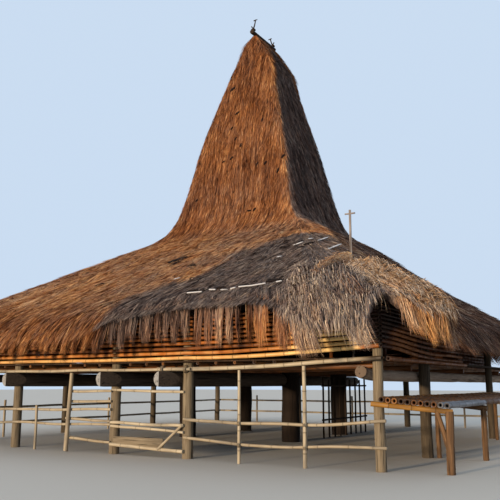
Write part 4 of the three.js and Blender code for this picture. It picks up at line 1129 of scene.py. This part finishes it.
def make_walls():
    front = -END_LINE - WALL_OUT
    side = -SIDE_LINE - WALL_OUT
    wall_end = SIDE_LINE - CLEAR
    past = END_LINE + 0.09
    tie = 0.044
    wall("front_wall", "bamboo", 0, -wall_end, wall_end, front, (-5.9, -1.9, 1.3, 5.2),
         lambda x: sweep(SIDE_LINE - x), (0.68, 0.18), 0.93)
    wall("right_wall", "red_bamboo", 1, -past, VERANDA_Y + tie, side, (-6.3, -4.2, -1.35),
         lambda y: sweep(y + END_LINE), thick=0.88)
    # The poles of the hidden walls are thicker, so that no light comes through between them.
    wall("left_wall", "bamboo", 3, -past, past, side, (-6.3, 0, 6.3), thick=1.35)
    wall("back_wall", "red_bamboo", 2, -VERANDA_X - tie, wall_end, front, (-4.9, 0.5, 5.9), thick=1.35)
    wall("veranda_wall", "red_bamboo", 1, DOOR_END, END_LINE - CLEAR, -VERANDA_X, (DOOR_END + 0.06, 3.3),
         thick=1.35)
    wall("veranda_end_wall", "red_bamboo", 0, VERANDA_X - tie, wall_end - 0.066, VERANDA_Y + 0.104, (5.5,))


# Floor: bearers on the log beams, joists on them, and the pale poles along the front edge

BEARER_YS, BEARER_X, BEARER_RADIUS = (-6.24, -4.2, 0, 4.2, 6.24), 5.94, 0.058
BEARER_Z, JOIST_Z = LOG_TOP + 0.06, LOG_TOP + 0.12 + 0.034
JOIST_RADIUS, JOIST_PITCH, JOIST_START, JOIST_END = 0.033, 0.45, -5.85, 6.0
POST_CLEAR, MAIN_CLEAR = 0.16, 0.28
MAIN_X, MAIN_RADIUS = 1.7, 0.24
FRONT_POSTS = (-6.06, -3.19, -0.115, 1.875, 6.065)
EDGE_Y = -END_LINE - 0.142
# The edge is two poles side by side. The right one sweeps up, and lashings tie the left one to it.
# The right edge pole darkens towards its right end: painted shade of the heavy bundle over the near corner.
RIGHT_POLE, RIGHT_POLE_RADIUS, PAINTED_SHADE_END = (1.25, 6.23), 0.042, (5.7, 6.05)
LEFT_POLE, LEFT_POLE_RADIUS, LASHING_XS = (-6.3, 2.15), 0.035, (1.42, 2.02)
SIDE_POLE_RADIUS = 0.043
EDGE_POLE = dict(sides=12, knots=0.46, wander=0.008, rough=0.02, bore=0.5, step=0.4, taper=0.1)


def make_floor_poles():
    heap = Heap()
    for y in BEARER_YS:
        for x in (-BEARER_X, BEARER_X):
            path = [(0, y, BEARER_Z), (x, y, BEARER_Z)]
            pole(heap, path, BEARER_RADIUS, 0.3, wander=0.01, rough=0.03)
    edge = END_LINE + 0.1
    for x in np.arange(JOIST_START, JOIST_END, JOIST_PITCH):
        if min(abs(x - post) for post in FRONT_POSTS) < POST_CLEAR or abs(abs(x) - MAIN_X) < MAIN_CLEAR:
            continue
        path = [(x, -edge, JOIST_Z), (x + rng.uniform(-0.05, 0.05), edge, JOIST_Z)]
        pole(heap, path, JOIST_RADIUS, rng.uniform(0.4, 0.8), knots=0.6, rough=0.02, bore=0.6, step=3)
    heap.build("floor_poles", "brown_bamboo", "bamboo", ["floor_joists"])


def make_edge_poles():
    heap = Heap()
    xs = np.linspace(*RIGHT_POLE, 9)
    path = [(x, EDGE_Y, LOG_TOP + 0.0403 + sweep(SIDE_LINE - x)) for x in xs]

    # Painted shade of the heavy bundle over the near corner, towards the pole's right end.
    def darker_end(p):
        return 0.8 - 1.0 * smooth(p[..., 0], *PAINTED_SHADE_END)

    pole(heap, path, RIGHT_POLE_RADIUS, darker_end, **EDGE_POLE)
    y, z = EDGE_Y - 0.066, LOG_TOP + 0.0343
    left_pole = dict(EDGE_POLE, knots=0.42, wander=0.02, taper=0.15)
    pole(heap, [(x, y, z) for x in LEFT_POLE], LEFT_POLE_RADIUS, 0.78, **left_pole)
    for x in LASHING_XS:
        lashing(heap, (x, (EDGE_Y + y) / 2, z + 0.003), (1, 0, 0), 0.082, 0.06, 0.006, 0.2)
    heap.build("edge_poles", "pale_bamboo", "pale_bamboo", ["front_edge_pole"])
    heap = Heap()
    deck_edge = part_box("floor_deck")[1]
    x, z = deck_edge[0] + SIDE_POLE_RADIUS, deck_edge[2] - 0.03
    side_pole = dict(EDGE_POLE, knots=0.5, wander=0.0, rough=0.03, step=0.3)
    path = [(x, -END_LINE - 0.02, z), (x, VERANDA_Y + 0.05, z)]
    pole(heap, path, SIDE_POLE_RADIUS, 0.7, **side_pole)
    heap.build("right_edge_pole", "red_bamboo", "bamboo")


# Posts and logs

LOG_SIDES, LOG_STEP, LOG_SHARE = 24, 0.16, 0.985
# The axe's cut: its ridge lies to the left of the log's middle, and the right facet slants back from there.
CUT_RIDGE, CUT_SLANT, CUT_LIFT = 0.2, 2.4, 0.001
# The round beam on the right: Y and rise of the places along it, its radius, and where its end is darker.
RIGHT_LOG = ((-6.65, 0.062), (-6.4, 0), (-6.2, 0), (7.05, 0))
RIGHT_LOG_RADIUS, RIGHT_LOG_DARKER = 0.108, (-6.66, -6.5)


def middle_and_radius(node):
    low, high = (np.array(c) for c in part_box(node))
    return low, high, (low + high) / 2, (high[0] - low[0]) / 2


def make_posts():
    for node in sorted(frame["nodes"]):
        if not (node.endswith("_post") or node.startswith("main_post")):
            continue
        low, high, middle, radius = middle_and_radius(node)
        main = node.startswith("main_post")
        heap = Heap()
        path = [(middle[0], middle[1], low[2]), (middle[0], middle[1], high[2])]
        # Posts behind the front row are darker: painted shade under the house.
        tone = rng.uniform(0.35, 0.55) - (0 if node.startswith("front") else 0.5)
        pole(heap, path, radius, tone, 28 if main else 24, wander=0.02, rough=0.07, step=0.08, taper=0.06)
        heap.build(node + "_log", "dark_and_shaded_wood" if main else "post_wood", "timber", [node])


def cap(heap, ring, middle, tone, way=1):
    """Closes a ring of points that faces along Y."""
    points = np.vstack([ring, middle])
    heap.add(points, [fan(len(ring))[:, ::way]], tone, 0.0, points[:, [0, 2, 1]])


def cut_log(node):
    """A log beam whose front end was cut with an axe: flat left of a ridge and slanting right of it."""
    low, high, middle, radius = middle_and_radius(node)
    x, z, front = middle[0], middle[2], low[1] - CUT_LIFT
    ridge = x - CUT_RIDGE * radius
    angle = np.arange(LOG_SIDES) * 2 * np.pi / LOG_SIDES
    px = x + radius * LOG_SHARE * np.cos(angle)
    pz = z + radius * LOG_SHARE * np.sin(angle)
    ys = [*np.arange(low[1], high[1], LOG_STEP), high[1]]
    points = np.stack([np.stack([px, np.full(LOG_SIDES, y), pz], 1) for y in ys])
    cut = low[1] + CUT_SLANT * np.maximum(px - ridge, 0)
    points[..., 1] = np.maximum(points[..., 1], cut + 0.002 * np.arange(len(points))[:, None])
    uneven = 0.02 * noise(points * [3, 0.9, 3], 1, 71)[..., None] * (points - [x, 0, z]) * [1, 0, 1]
    uneven[0] = 0
    trunk, end = Heap(), Heap()
    sides = [grid_faces(len(points), LOG_SIDES, True)[:, ::-1]]
    trunk.add((points + uneven).reshape(-1, 3), sides, 0.45, 0.0, points[..., [0, 2, 1]].reshape(-1, 3))
    cap(trunk, points[-1], points[-1].mean(0), 0.8, -1)
    flat = points[0].copy()
    flat[:, 0] = np.minimum(flat[:, 0], ridge)
    flat[:, 1] = front
    cap(end, flat, [ridge, front, z], 0.8)
    facet = points[0].copy()
    facet[:, 0] = np.maximum(facet[:, 0], ridge)
    facet[:, 1] = front + CUT_SLANT * (facet[:, 0] - ridge)
    end.build(node + "_end", "shaded_cut_wood", "timber")
    cap(trunk, facet, facet.mean(0), 0.3)
    trunk.build(node + "_trunk", "log_wood", "timber", [node])


def make_logs():
    for side in ("left", "left_centre", "centre", "right_centre"):
        cut_log(f"{side}_log_beam")
    heap = Heap()
    x, z = SIDE_LINE - 0.3503, LOG_TOP - 0.11

    def darker_end(p):
        return 0.5 - 0.9 * (1 - smooth(p[..., 1], *RIGHT_LOG_DARKER))

    path = [(x, y, z + rise) for y, rise in RIGHT_LOG]
    pole(heap, path, RIGHT_LOG_RADIUS, darker_end, 20, rough=0.07, step=0.15)
    heap.build("right_beam_trunk", "beam_wood", "timber", ["right_log_beam"])


# Rails of the pens, tied to props

PROP = dict(sides=12, knots=0.33, wander=0.006, rough=0.02, step=0.3, taper=0.12)
RAIL = dict(sides=12, knots=0.5, wander=0.025, rough=0.05, step=0.2)
STICK = dict(sides=12, wander=0.006, rough=0.04, step=0.15)
RAIL_FACE, PROP_Y = -END_LINE, -END_LINE - 0.064
# Props: X and radius. Rails on the right: four heights along each, and its radius. Rails in the centre:
# heights of both ends and radius. Rails on the left: X of the start, heights of both ends and radius.
RIGHT_PROPS = ((4.7, 0.04), (3.28, 0.034))
RIGHT_RAILS = (((0.8, 0.745, 0.76, 0.87), 0.032), ((0.43, 0.34, 0.35, 0.405), 0.03))
CENTRE_RAILS = ((1.386, 1.34, 0.028), (0.675, 0.66, 0.033), (0.605, 0.525, 0.03), (0.215, 0.15, 0.038))
FAR_LEFT = -SIDE_LINE - 0.06
LEFT_RAILS = (
    (-1.4, 1.345, 1.35, 0.03), (-1.43, 1.115, 1.13, 0.032), (FAR_LEFT, 0.85, 0.95, 0.034),
    (-1.48, 0.735, 0.7, 0.034), (FAR_LEFT, 0.56, 0.63, 0.032), (-1.48, 0.3, 0.25, 0.034),
)


def rail(heap, start, end, z0, z1, radius, tones, **extra):
    """A rail that lies against the outer faces of the posts."""
    path = [(start, RAIL_FACE - radius, z0), (end, RAIL_FACE - radius, z1)]
    pole(heap, path, radius, rng.uniform(*tones), **RAIL, **extra)


def make_right_bay():
    start, end = FRONT_POSTS[3] + 0.005, SIDE_LINE + 0.07
    heap = Heap()
    for x, radius in RIGHT_PROPS:
        top = LOG_TOP + float(sweep(SIDE_LINE - x)) - 0.004
        pole(heap, [(x, EDGE_Y + 0.01, 0), (x, EDGE_Y + 0.01, top)], radius, 0.75, **PROP)
    (right_prop, _), (left_prop, _) = RIGHT_PROPS
    far = EDGE_Y + 0.04
    for (z0, z1, z2, z3), r in RIGHT_RAILS:
        near = RAIL_FACE - r
        path = [(start, near, z0), (left_prop, far, z1), (right_prop, far, z2), (end, near - 0.002, z3)]
        pole(heap, path, r, 0.6, **dict(RAIL, wander=0.03, taper=0.1))
        for x, z in ((left_prop, z1), (right_prop, z2)):
            lashing(heap, (x, EDGE_Y + 0.02, z), (1, 0, 0.3), 0.055, 0.05, 0.005, 0.3)
    heap.build("right_bay_rails", "pale_bamboo", "pale_bamboo", ["front_right_rails"])


def make_centre_bay():
    start, end = FRONT_POSTS[2] + 0.005, FRONT_POSTS[3] - 0.005
    heap = Heap()
    for z0, z1, r in CENTRE_RAILS:
        rail(heap, start, end, z0, z1, r, (0.6, 0.9))
    pole(heap, [(1.23, PROP_Y, 0.165), (1.85, PROP_Y, 0.67)], 0.028, 0.7, **STICK)
    heap.build("centre_bay_rails", "pale_bamboo", "pale_bamboo", ["front_centre_rails"])
    heap = Heap()
    plank(heap, (start + 0.1, RAIL_FACE - 0.05, 0.19), (1.35, RAIL_FACE - 0.02, 0.385), 0.55)
    heap.build("centre_bay_board", "post_wood", "timber")


def make_left_bay():
    heap = Heap()
    y = PROP_Y - 0.03
    leaning = dict(STICK, wander=0.012, rough=0.05, taper=0.1)
    pole(heap, [(-1.39, y, 0.016), (-1.3, y, LOG_TOP - 0.012)], 0.052, 0.6, **leaning)
    pole(heap, [(-2.43, PROP_Y, 0), (-2.44, PROP_Y, 1.01)], 0.032, 0.6, **dict(STICK, wander=0.01))
    for start, z0, z1, r in LEFT_RAILS:
        rail(heap, start, FRONT_POSTS[2] - 0.005, z0, z1, r, (0.6, 0.95), taper=0.1)
    heap.build("left_bay_rails", "pale_bamboo", "pale_bamboo", ["front_left_rails"])


PEN_HEIGHTS, PEN_RADIUS, STAKE_TOP, STAKE_RADIUS = (0.85, 0.42), 0.033, 1.05, 0.035


def plain_pen(node, turn, half, line, stakes):
    """Two rails on stakes along one side, which is turned by quarters from the front."""
    heap = Heap()
    placed = quarter_turn(turn)
    y = -line - 0.034
    for z in PEN_HEIGHTS:
        path = [placed(-half, y, z), placed(half, y, z)]
        pole(heap, path, PEN_RADIUS, rng.uniform(0.5, 0.8), 10, 0.42, wander=0.012, rough=0.03, bore=0.4)
    y = -line - 0.064
    for x in stakes:
        path = [placed(x, y, 0), placed(x, y, STAKE_TOP)]
        pole(heap, path, STAKE_RADIUS, 0.5, **dict(STICK, sides=10, wander=0.01))
    heap.build(node + "_poles", "pale_bamboo", "pale_bamboo", [node])


# The palisade stands against a main post: heights and ends of its bars, and its sticks along Y.
BAR_HEIGHTS, BAR_ENDS = (0.5, 1.45), (-0.15, 3.15)
STICK_COUNT, STICK_START, STICK_PITCH, STICK_TOP, STICK_RADIUS = 9, -0.1, 0.39, 1.69, 0.027


def make_palisade():
    heap = Heap()
    x = MAIN_X + MAIN_RADIUS + 0.0283
    for z in BAR_HEIGHTS:
        pole(heap, [(x, y, z) for y in BAR_ENDS], STICK_RADIUS, 0.4, wander=0.006, rough=0.04)
    for i in range(STICK_COUNT):
        y = STICK_START + STICK_PITCH * i
        top = (x + rng.uniform(-0.01, 0.01), y + rng.uniform(-0.04, 0.04), STICK_TOP - 0.06 * (i % 2))
        pole(heap, [(x, y, 0), top], STICK_RADIUS, rng.uniform(0.2, 0.6), wander=0.008, rough=0.05)
    heap.build("palisade_sticks", "dark_and_shaded_wood", "dark_timber", ["pen_palisade"])


def make_rails():
    make_right_bay()
    make_centre_bay()
    make_left_bay()
    plain_pen("left_rails", 3, END_LINE - 0.02, SIDE_LINE, (-4.4, 0, 4.4))
    plain_pen("back_rails", 2, SIDE_LINE + 0.06, END_LINE, (-4.2, 0, 4.2))
    make_palisade()


# Bench. It falls away from the house, and its front edge runs askew.

BENCH_X, BENCH_PITCH, BENCH_COUNT, BENCH_RADIUS = 6.245, 0.1, 11, 0.052
BENCH_TOP, BENCH_FALL, BENCH_FRONT, BENCH_SKEW = 1.29, 0.1, -6.84, 0.45
BENCH_MID, BENCH_BACK = -3.65, 1.85
BENCH_RIGHT = BENCH_X + BENCH_PITCH * (BENCH_COUNT - 1)
BENCH_POLE = dict(knots=0.45, wander=0.006, rough=0.03, bore=0.62)
GREY_COUNT = 2
# The front bar runs askew from the corner post to a stout leg with a slanting brace.
BAR_START, BAR_Y, BAR_SKEW = 6.065, -6.6193, 0.3206
LEG_X, LEG_RADIUS, BRACE_REACH = 7.23, 0.074, 0.19


def bench_z(x):
    return BENCH_TOP - BENCH_RADIUS - BENCH_FALL * (x - BENCH_X)


def bar_y(x):
    return BAR_Y + BAR_SKEW * (x - BAR_START)


def make_bench():
    front, back, grey = Heap(), Heap(), Heap()
    for i in range(BENCH_COUNT):
        x = BENCH_X + BENCH_PITCH * i
        z = bench_z(x)
        at_edge = i >= BENCH_COUNT - GREY_COUNT
        tone = rng.uniform(0.35, 0.8) * (0.5 if at_edge else 1)
        path = [(x, BENCH_FRONT + BENCH_SKEW * BENCH_PITCH * i, z), (x, BENCH_MID - 0.02, z)]
        pole(grey if at_edge else front, path, BENCH_RADIUS * 0.95, tone, 14, **BENCH_POLE)
        path = [(x, BENCH_MID + 0.02, z), (x, BENCH_BACK + 0.15, z)]
        pole(back, path, BENCH_RADIUS * 0.95, tone, 12, **BENCH_POLE)
    front.build("bench_front_poles", "brown_bamboo", "bamboo", ["bench_front_deck"])
    grey.build("bench_edge_poles", "grey_bamboo", "bamboo")
    back.build("bench_back_poles", "brown_bamboo", "bamboo", ["bench_back_deck"])


def bench_bar(heap, start, end, radius, tone, **hollow):
    """A bar under the bench's poles, which falls as they do."""
    path = [(x, y, bench_z(x) - BENCH_RADIUS * 1.05 - radius) for x, y in (start, end)]
    pole(heap, path, radius * 0.97, tone, 14, rough=0.04, step=0.25, **hollow)


def make_bench_frames():
    heap = Heap()
    start, end = BAR_START - 0.085, BENCH_RIGHT + 0.05
    bench_bar(heap, (start, bar_y(start)), (end, bar_y(end)), 0.048, 0.35, knots=0.42, bore=0.5)
    heap.build("bench_front_bar", "golden_bamboo", "bamboo", ["bench_front_frame"])
    heap = Heap()
    y = bar_y(LEG_X)
    top = bench_z(LEG_X) - 0.1
    pole(heap, [(LEG_X, y, 0), (LEG_X, y, top)], LEG_RADIUS, 0.5, 28, wander=0.02, rough=0.16, step=0.04)
    x = LEG_X - BRACE_REACH
    brace = [(LEG_X - 0.02, y + 0.04, 0.35), (x, bar_y(x), bench_z(x) - 0.1)]
    pole(heap, brace, 0.045, 0.6, 12, wander=0.006, rough=0.06, step=0.1)
    heap.build("bench_front_leg", "leg_wood", "timber")
    for node, y in (("bench_middle_frame", BENCH_MID), ("bench_back_frame", BENCH_BACK)):
        heap = Heap()
        bench_bar(heap, (BENCH_X - 0.04, y), (BENCH_RIGHT + 0.05, y), 0.058, 0.5)
        for x, radius in ((BENCH_X + 0.03, 0.05), (BENCH_RIGHT - 0.03, 0.06)):
            path = [(x, y, 0), (x, y, bench_z(x) - 0.11)]
            pole(heap, path, radius, 0.5, 14, wander=0.01, rough=0.05, step=0.12)
        heap.build(node + "_poles", "leg_wood", "timber", [node])


# Ridge pole with its horns, and the mast for an overhead line

RIDGE_Z, RIDGE_RADIUS, RIDGE_ENDS, HORN_SEAT = 12.6906, 0.07, (-0.76, 0.72), 0.0703
# Horns: node, place along the ridge, way they lean and height.
HORNS = (("front_finial", -0.66, 1, 0.37), ("back_finial", 0.62, -1, 0.33))
HORN_RADIUS, TIE_RADIUS = 0.024, 0.019
HORN = dict(sides=10, rough=0.1, step=0.05, taper=0.3)
MAST_X, MAST_Y, MAST_TOP, MAST_RADIUS = 5.0, -5.0, 5.16, 0.026
# The mast's arm: half its length, half its thickness, and the heights of its lower and upper face.
MAST_ARM, ARM_HALF, ARM_LOW, ARM_HIGH = 0.115, 0.015, 5.065, 5.095


def make_ridge():
    heap = Heap()
    pole(heap, [(0, y, RIDGE_Z) for y in RIDGE_ENDS], RIDGE_RADIUS, 0.3, 14, rough=0.08, step=0.08)
    heap.build("ridge_log", "dark_and_shaded_wood", "dark_timber", ["ridge_pole"])
    seat = RIDGE_Z + HORN_SEAT
    for node, y, lean, height in HORNS:
        heap = Heap()
        plank(heap, (-0.06, y - 0.05, seat), (0.06, y + 0.05, seat + 0.06), 0.3)
        foot, half = seat + 0.02, seat + 0.5 * height
        tall = [(-0.02 * lean, y, foot), (0.05 * lean, y, half), (0.09 * lean, y, seat + height)]
        pole(heap, tall, HORN_RADIUS, 0.3, **HORN)
        short = [(0.02 * lean, y - 0.01, foot), (-0.06 * lean, y - 0.01, seat + 0.45 * height)]
        pole(heap, short, HORN_RADIUS, 0.3, **HORN)
        x, top = 0.09 * lean, seat + height - 0.017
        tie = [(x - 0.07, y, top - 0.005), (x + 0.06, y, top + 0.005)]
        pole(heap, tie, TIE_RADIUS, 0.3, **dict(HORN, step=0.04))
        heap.build(node + "_horns", "dark_and_shaded_wood", "dark_timber", [node])


def make_mast():
    heap = Heap()
    path = [(MAST_X, MAST_Y, DECK_TOP), (MAST_X, MAST_Y, MAST_TOP)]
    pole(heap, path, MAST_RADIUS, 0.6, 12, rough=0.06, step=0.2)
    low = (MAST_X - MAST_ARM, MAST_Y - ARM_HALF, ARM_LOW)
    plank(heap, low, (MAST_X + MAST_ARM, MAST_Y + ARM_HALF, ARM_HIGH), 0.5)
    heap.build("mast_pole", "mast_wood", "dark_timber", ["service_mast"])


# Marks on the roof: holes, torn strips, a bared batten and a band of straw

# Places tried along the front of the roof, and the rows, columns and unevenness of a leaf.
FRONT_U = np.linspace(0.75, 0.998, 600)
LEAF_ROWS, LEAF_COLUMNS, LEAF_UNEVEN = 9, 10, 0.18


def front_place(x, z, lift=0.0):
    """A place on the front slope's thatch at the given X and height, with the way out of the slope there."""
    reach = roof_point(FRONT_U, np.full_like(FRONT_U, slope_at_height(z)))[:, 0]
    at = np.array([np.interp(x, reach, FRONT_U)])
    slope = np.array([slope_at_height(z)])
    p, n = roof_point(at, slope), roof_normal(at, slope)
    return (p + n * (lumps(p) + lift)[:, None])[0], n[0]


def lens(heap, start, end, out, width, thick, tone):
    """A thin closed leaf between two places, with its flat side facing out."""
    length = np.linalg.norm(end - start)
    along = unit((end - start) - out * np.dot(end - start, out))
    side = np.cross(out, along)
    rows, columns = LEAF_ROWS, LEAF_COLUMNS
    fall = np.linspace(0.02, 0.98, rows) * np.pi
    turn = np.arange(columns) * 2 * np.pi / columns
    ring = np.sin(fall)[:, None] * (1 + LEAF_UNEVEN * rng.uniform(-1, 1, (rows, columns)))
    points = (
        (start + end) / 2
        + (np.cos(fall)[:, None] * np.ones(columns) * length / 2)[..., None] * along
        + (ring * np.cos(turn) * width / 2)[..., None] * side
        + (ring * np.sin(turn) * thick / 2)[..., None] * out
    ).reshape(-1, 3)
    tips = np.stack([points[:columns].mean(0), points[-columns:].mean(0)])
    j = np.arange(columns)
    first = np.stack([np.full(columns, rows * columns), (j + 1) % columns, j], 1)
    base = (rows - 1) * columns
    last = np.stack([np.full(columns, rows * columns + 1), base + j, base + (j + 1) % columns], 1)
    quads = grid_faces(rows, columns, True)[:, ::-1]
    heap.add(np.vstack([points, tips]), [quads, first, last], tone, 1.0)


# Holes and pits, laid as dark leaves of painted shade, and torn strips: X and height of both ends, and width.
# The batten's stretches: only the ends.
HOLES = [
    (-0.18, 4.51, 0.16, 4.72, 0.15), (0.02, 4.40, 0.20, 4.62, 0.08), (-0.12, 3.20, 0.06, 3.30, 0.10),
    (1.40, 3.83, 1.52, 3.87, 0.07), (1.57, 3.85, 1.68, 3.88, 0.07), (1.95, 3.40, 2.25, 3.42, 0.07),
    (2.62, 3.42, 2.90, 3.44, 0.07), (3.16, 3.44, 3.46, 3.46, 0.08), (3.80, 3.48, 4.12, 3.52, 0.11),
    (4.24, 3.55, 4.44, 3.62, 0.12), (2.28, 3.41, 2.42, 3.42, 0.06), (-1.50, 3.86, -1.32, 3.95, 0.05),
    (0.84, 4.27, 0.98, 4.32, 0.05), (3.52, 4.52, 3.68, 4.56, 0.07), (2.80, 4.88, 2.98, 4.91, 0.05),
    (3.55, 4.66, 3.72, 4.72, 0.06), (3.30, 4.76, 3.44, 4.80, 0.05), (2.95, 4.62, 3.10, 4.66, 0.05),
]
PITS = [
    (-0.66, 10.68, -0.46, 10.80, 0.09), (-0.34, 9.74, -0.18, 9.84, 0.06), (-0.24, 8.84, -0.18, 8.94, 0.05),
    (-0.02, 8.56, 0.04, 8.70, 0.06), (-0.34, 8.20, -0.22, 8.30, 0.06), (0.63, 7.84, 0.69, 7.96, 0.05),
    (0.90, 7.82, 0.98, 7.92, 0.06), (0.52, 6.40, 0.66, 6.40, 0.05), (0.74, 6.36, 0.80, 6.46, 0.05),
    (1.44, 7.94, 1.52, 8.06, 0.06), (1.36, 7.48, 1.42, 7.64, 0.06), (-0.42, 9.24, -0.36, 9.34, 0.05),
    (-0.62, 8.16, -0.50, 8.20, 0.04), (0.68, 9.28, 0.70, 9.42, 0.05), (-1.45, 6.98, -1.36, 7.06, 0.05),
]
TORN = [
    (3.24, 4.26, 3.34, 4.30, 0.05), (3.27, 4.67, 3.51, 4.72, 0.06), (3.46, 4.86, 3.54, 4.89, 0.05),
    (3.67, 4.84, 3.72, 4.95, 0.07), (4.12, 4.43, 4.24, 4.62, 0.09), (1.06, 3.80, 1.18, 3.84, 0.04),
]
BATTEN = [
    (2.06, 3.34, 2.42, 3.35), (2.60, 3.355, 2.74, 3.36), (2.86, 3.365, 3.02, 3.37), (3.10, 3.37, 3.22, 3.375),
    (3.30, 3.38, 3.86, 3.42), (4.05, 3.45, 4.16, 3.465), (4.26, 3.48, 4.40, 3.50),
]


def make_roof_marks():
    dark, torn, batten = Heap(), Heap(), Heap()
    # The holes and pits are dark leaves laid on the thatch: painted shade.
    kinds = ((dark, HOLES + PITS, -0.4, 0.015, 0.06), (torn, TORN, 0.9, 0.035, 0.02))
    for heap, rows, tone, lift, thick in kinds:
        for x0, z0, x1, z1, width in rows:
            start, out = front_place(x0, z0, lift)
            end, _ = front_place(x1, z1, lift)
            lens(heap, start, end, out, width, thick, tone)
    dark.build("thatch_holes", "thatch", "skirt_thatch")
    torn.build("torn_strips", "torn_leaf", "skirt_thatch")
    for x0, z0, x1, z1 in BATTEN:
        path = [front_place(x, z, 0.03)[0] for x, z in ((x0, z0), ((x0 + x1) / 2, (z0 + z1) / 2), (x1, z1))]
        pole(batten, path, 0.015, 0.8, 6, rough=0.05, step=0.2)
    batten.build("bared_batten", "torn_leaf", "skirt_thatch")


# The bent straw that holds the heavy bundle at the near corner: its line, and the ways out of it and over it.
BAND = [(4.86, -6.5, 3.54), (4.93, -6.16, 3.74), (4.95, -5.76, 3.9), (4.98, -5.38, 4.0), (5.05, -5.1, 4.04)]
BAND_OUT, BAND_OVER = unit(np.array([0.35, -0.75, 0.8])), unit(np.array([-0.2, 0.6, 0.8]))
BAND_COUNT = 500


def make_straw_band():
    heap = Heap()
    count = BAND_COUNT
    share = rng.uniform(0, 1, count)
    length = np.linalg.norm(np.diff(BAND, axis=0), axis=1).sum()
    reach = rng.uniform(0.2, 0.45, count)
    stations = np.clip(share[:, None] * length + reach[:, None] * np.linspace(-0.5, 0.5, 3), 0, length)
    centres = resample(BAND, stations.ravel()).reshape(count, 3, 3)
    ring = rng.uniform(0, 2 * np.pi, count)
    out = (0.11 + 0.03 * np.sin(ring))[:, None, None] * BAND_OUT
    centres = centres + out + (0.07 * np.cos(ring))[:, None, None] * BAND_OVER
    centres = centres + rng.normal(0, 0.03, centres.shape)
    tone = np.clip(0.95 + rng.normal(0, 0.2, count), 0, 1)[:, None] * np.ones(3)
    grey = np.clip(0.45 + rng.normal(0, 0.2, count), 0, 1)[:, None] * np.ones(3)
    across = unit(BAND_OVER + rng.normal(0, 0.3, (count, 3)))
    widths = rng.uniform(0.01, 0.018, count)
    grain = grain_of(centres[:, 1], np.repeat(BAND_OUT[None], count, 0))
    blades(heap, centres, across, widths, tone, grey, grain)
    heap.build("straw_band", "thatch", "skirt_thatch", flat=True)


def dress_frame():
    """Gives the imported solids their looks: grass for the thatch and smoked wood for all others."""
    slot_of = {row["node"]: row["material_slot"] for row in frame["record"]["subparts"]}
    for node, piece in frame["nodes"].items():
        piece.data.materials.clear()
        piece.data.materials.append(looks["thatch" if slot_of[node].endswith("thatch") else "smoked_wood"])


make_camera()
make_light()
make_floor()
dress_frame()
make_roof_skin()
make_grass()
make_fringe()
make_walls()
make_floor_poles()
make_edge_poles()
make_posts()
make_logs()
make_rails()
make_bench()
make_bench_frames()
make_ridge()
make_mast()
make_roof_marks()
make_straw_band()
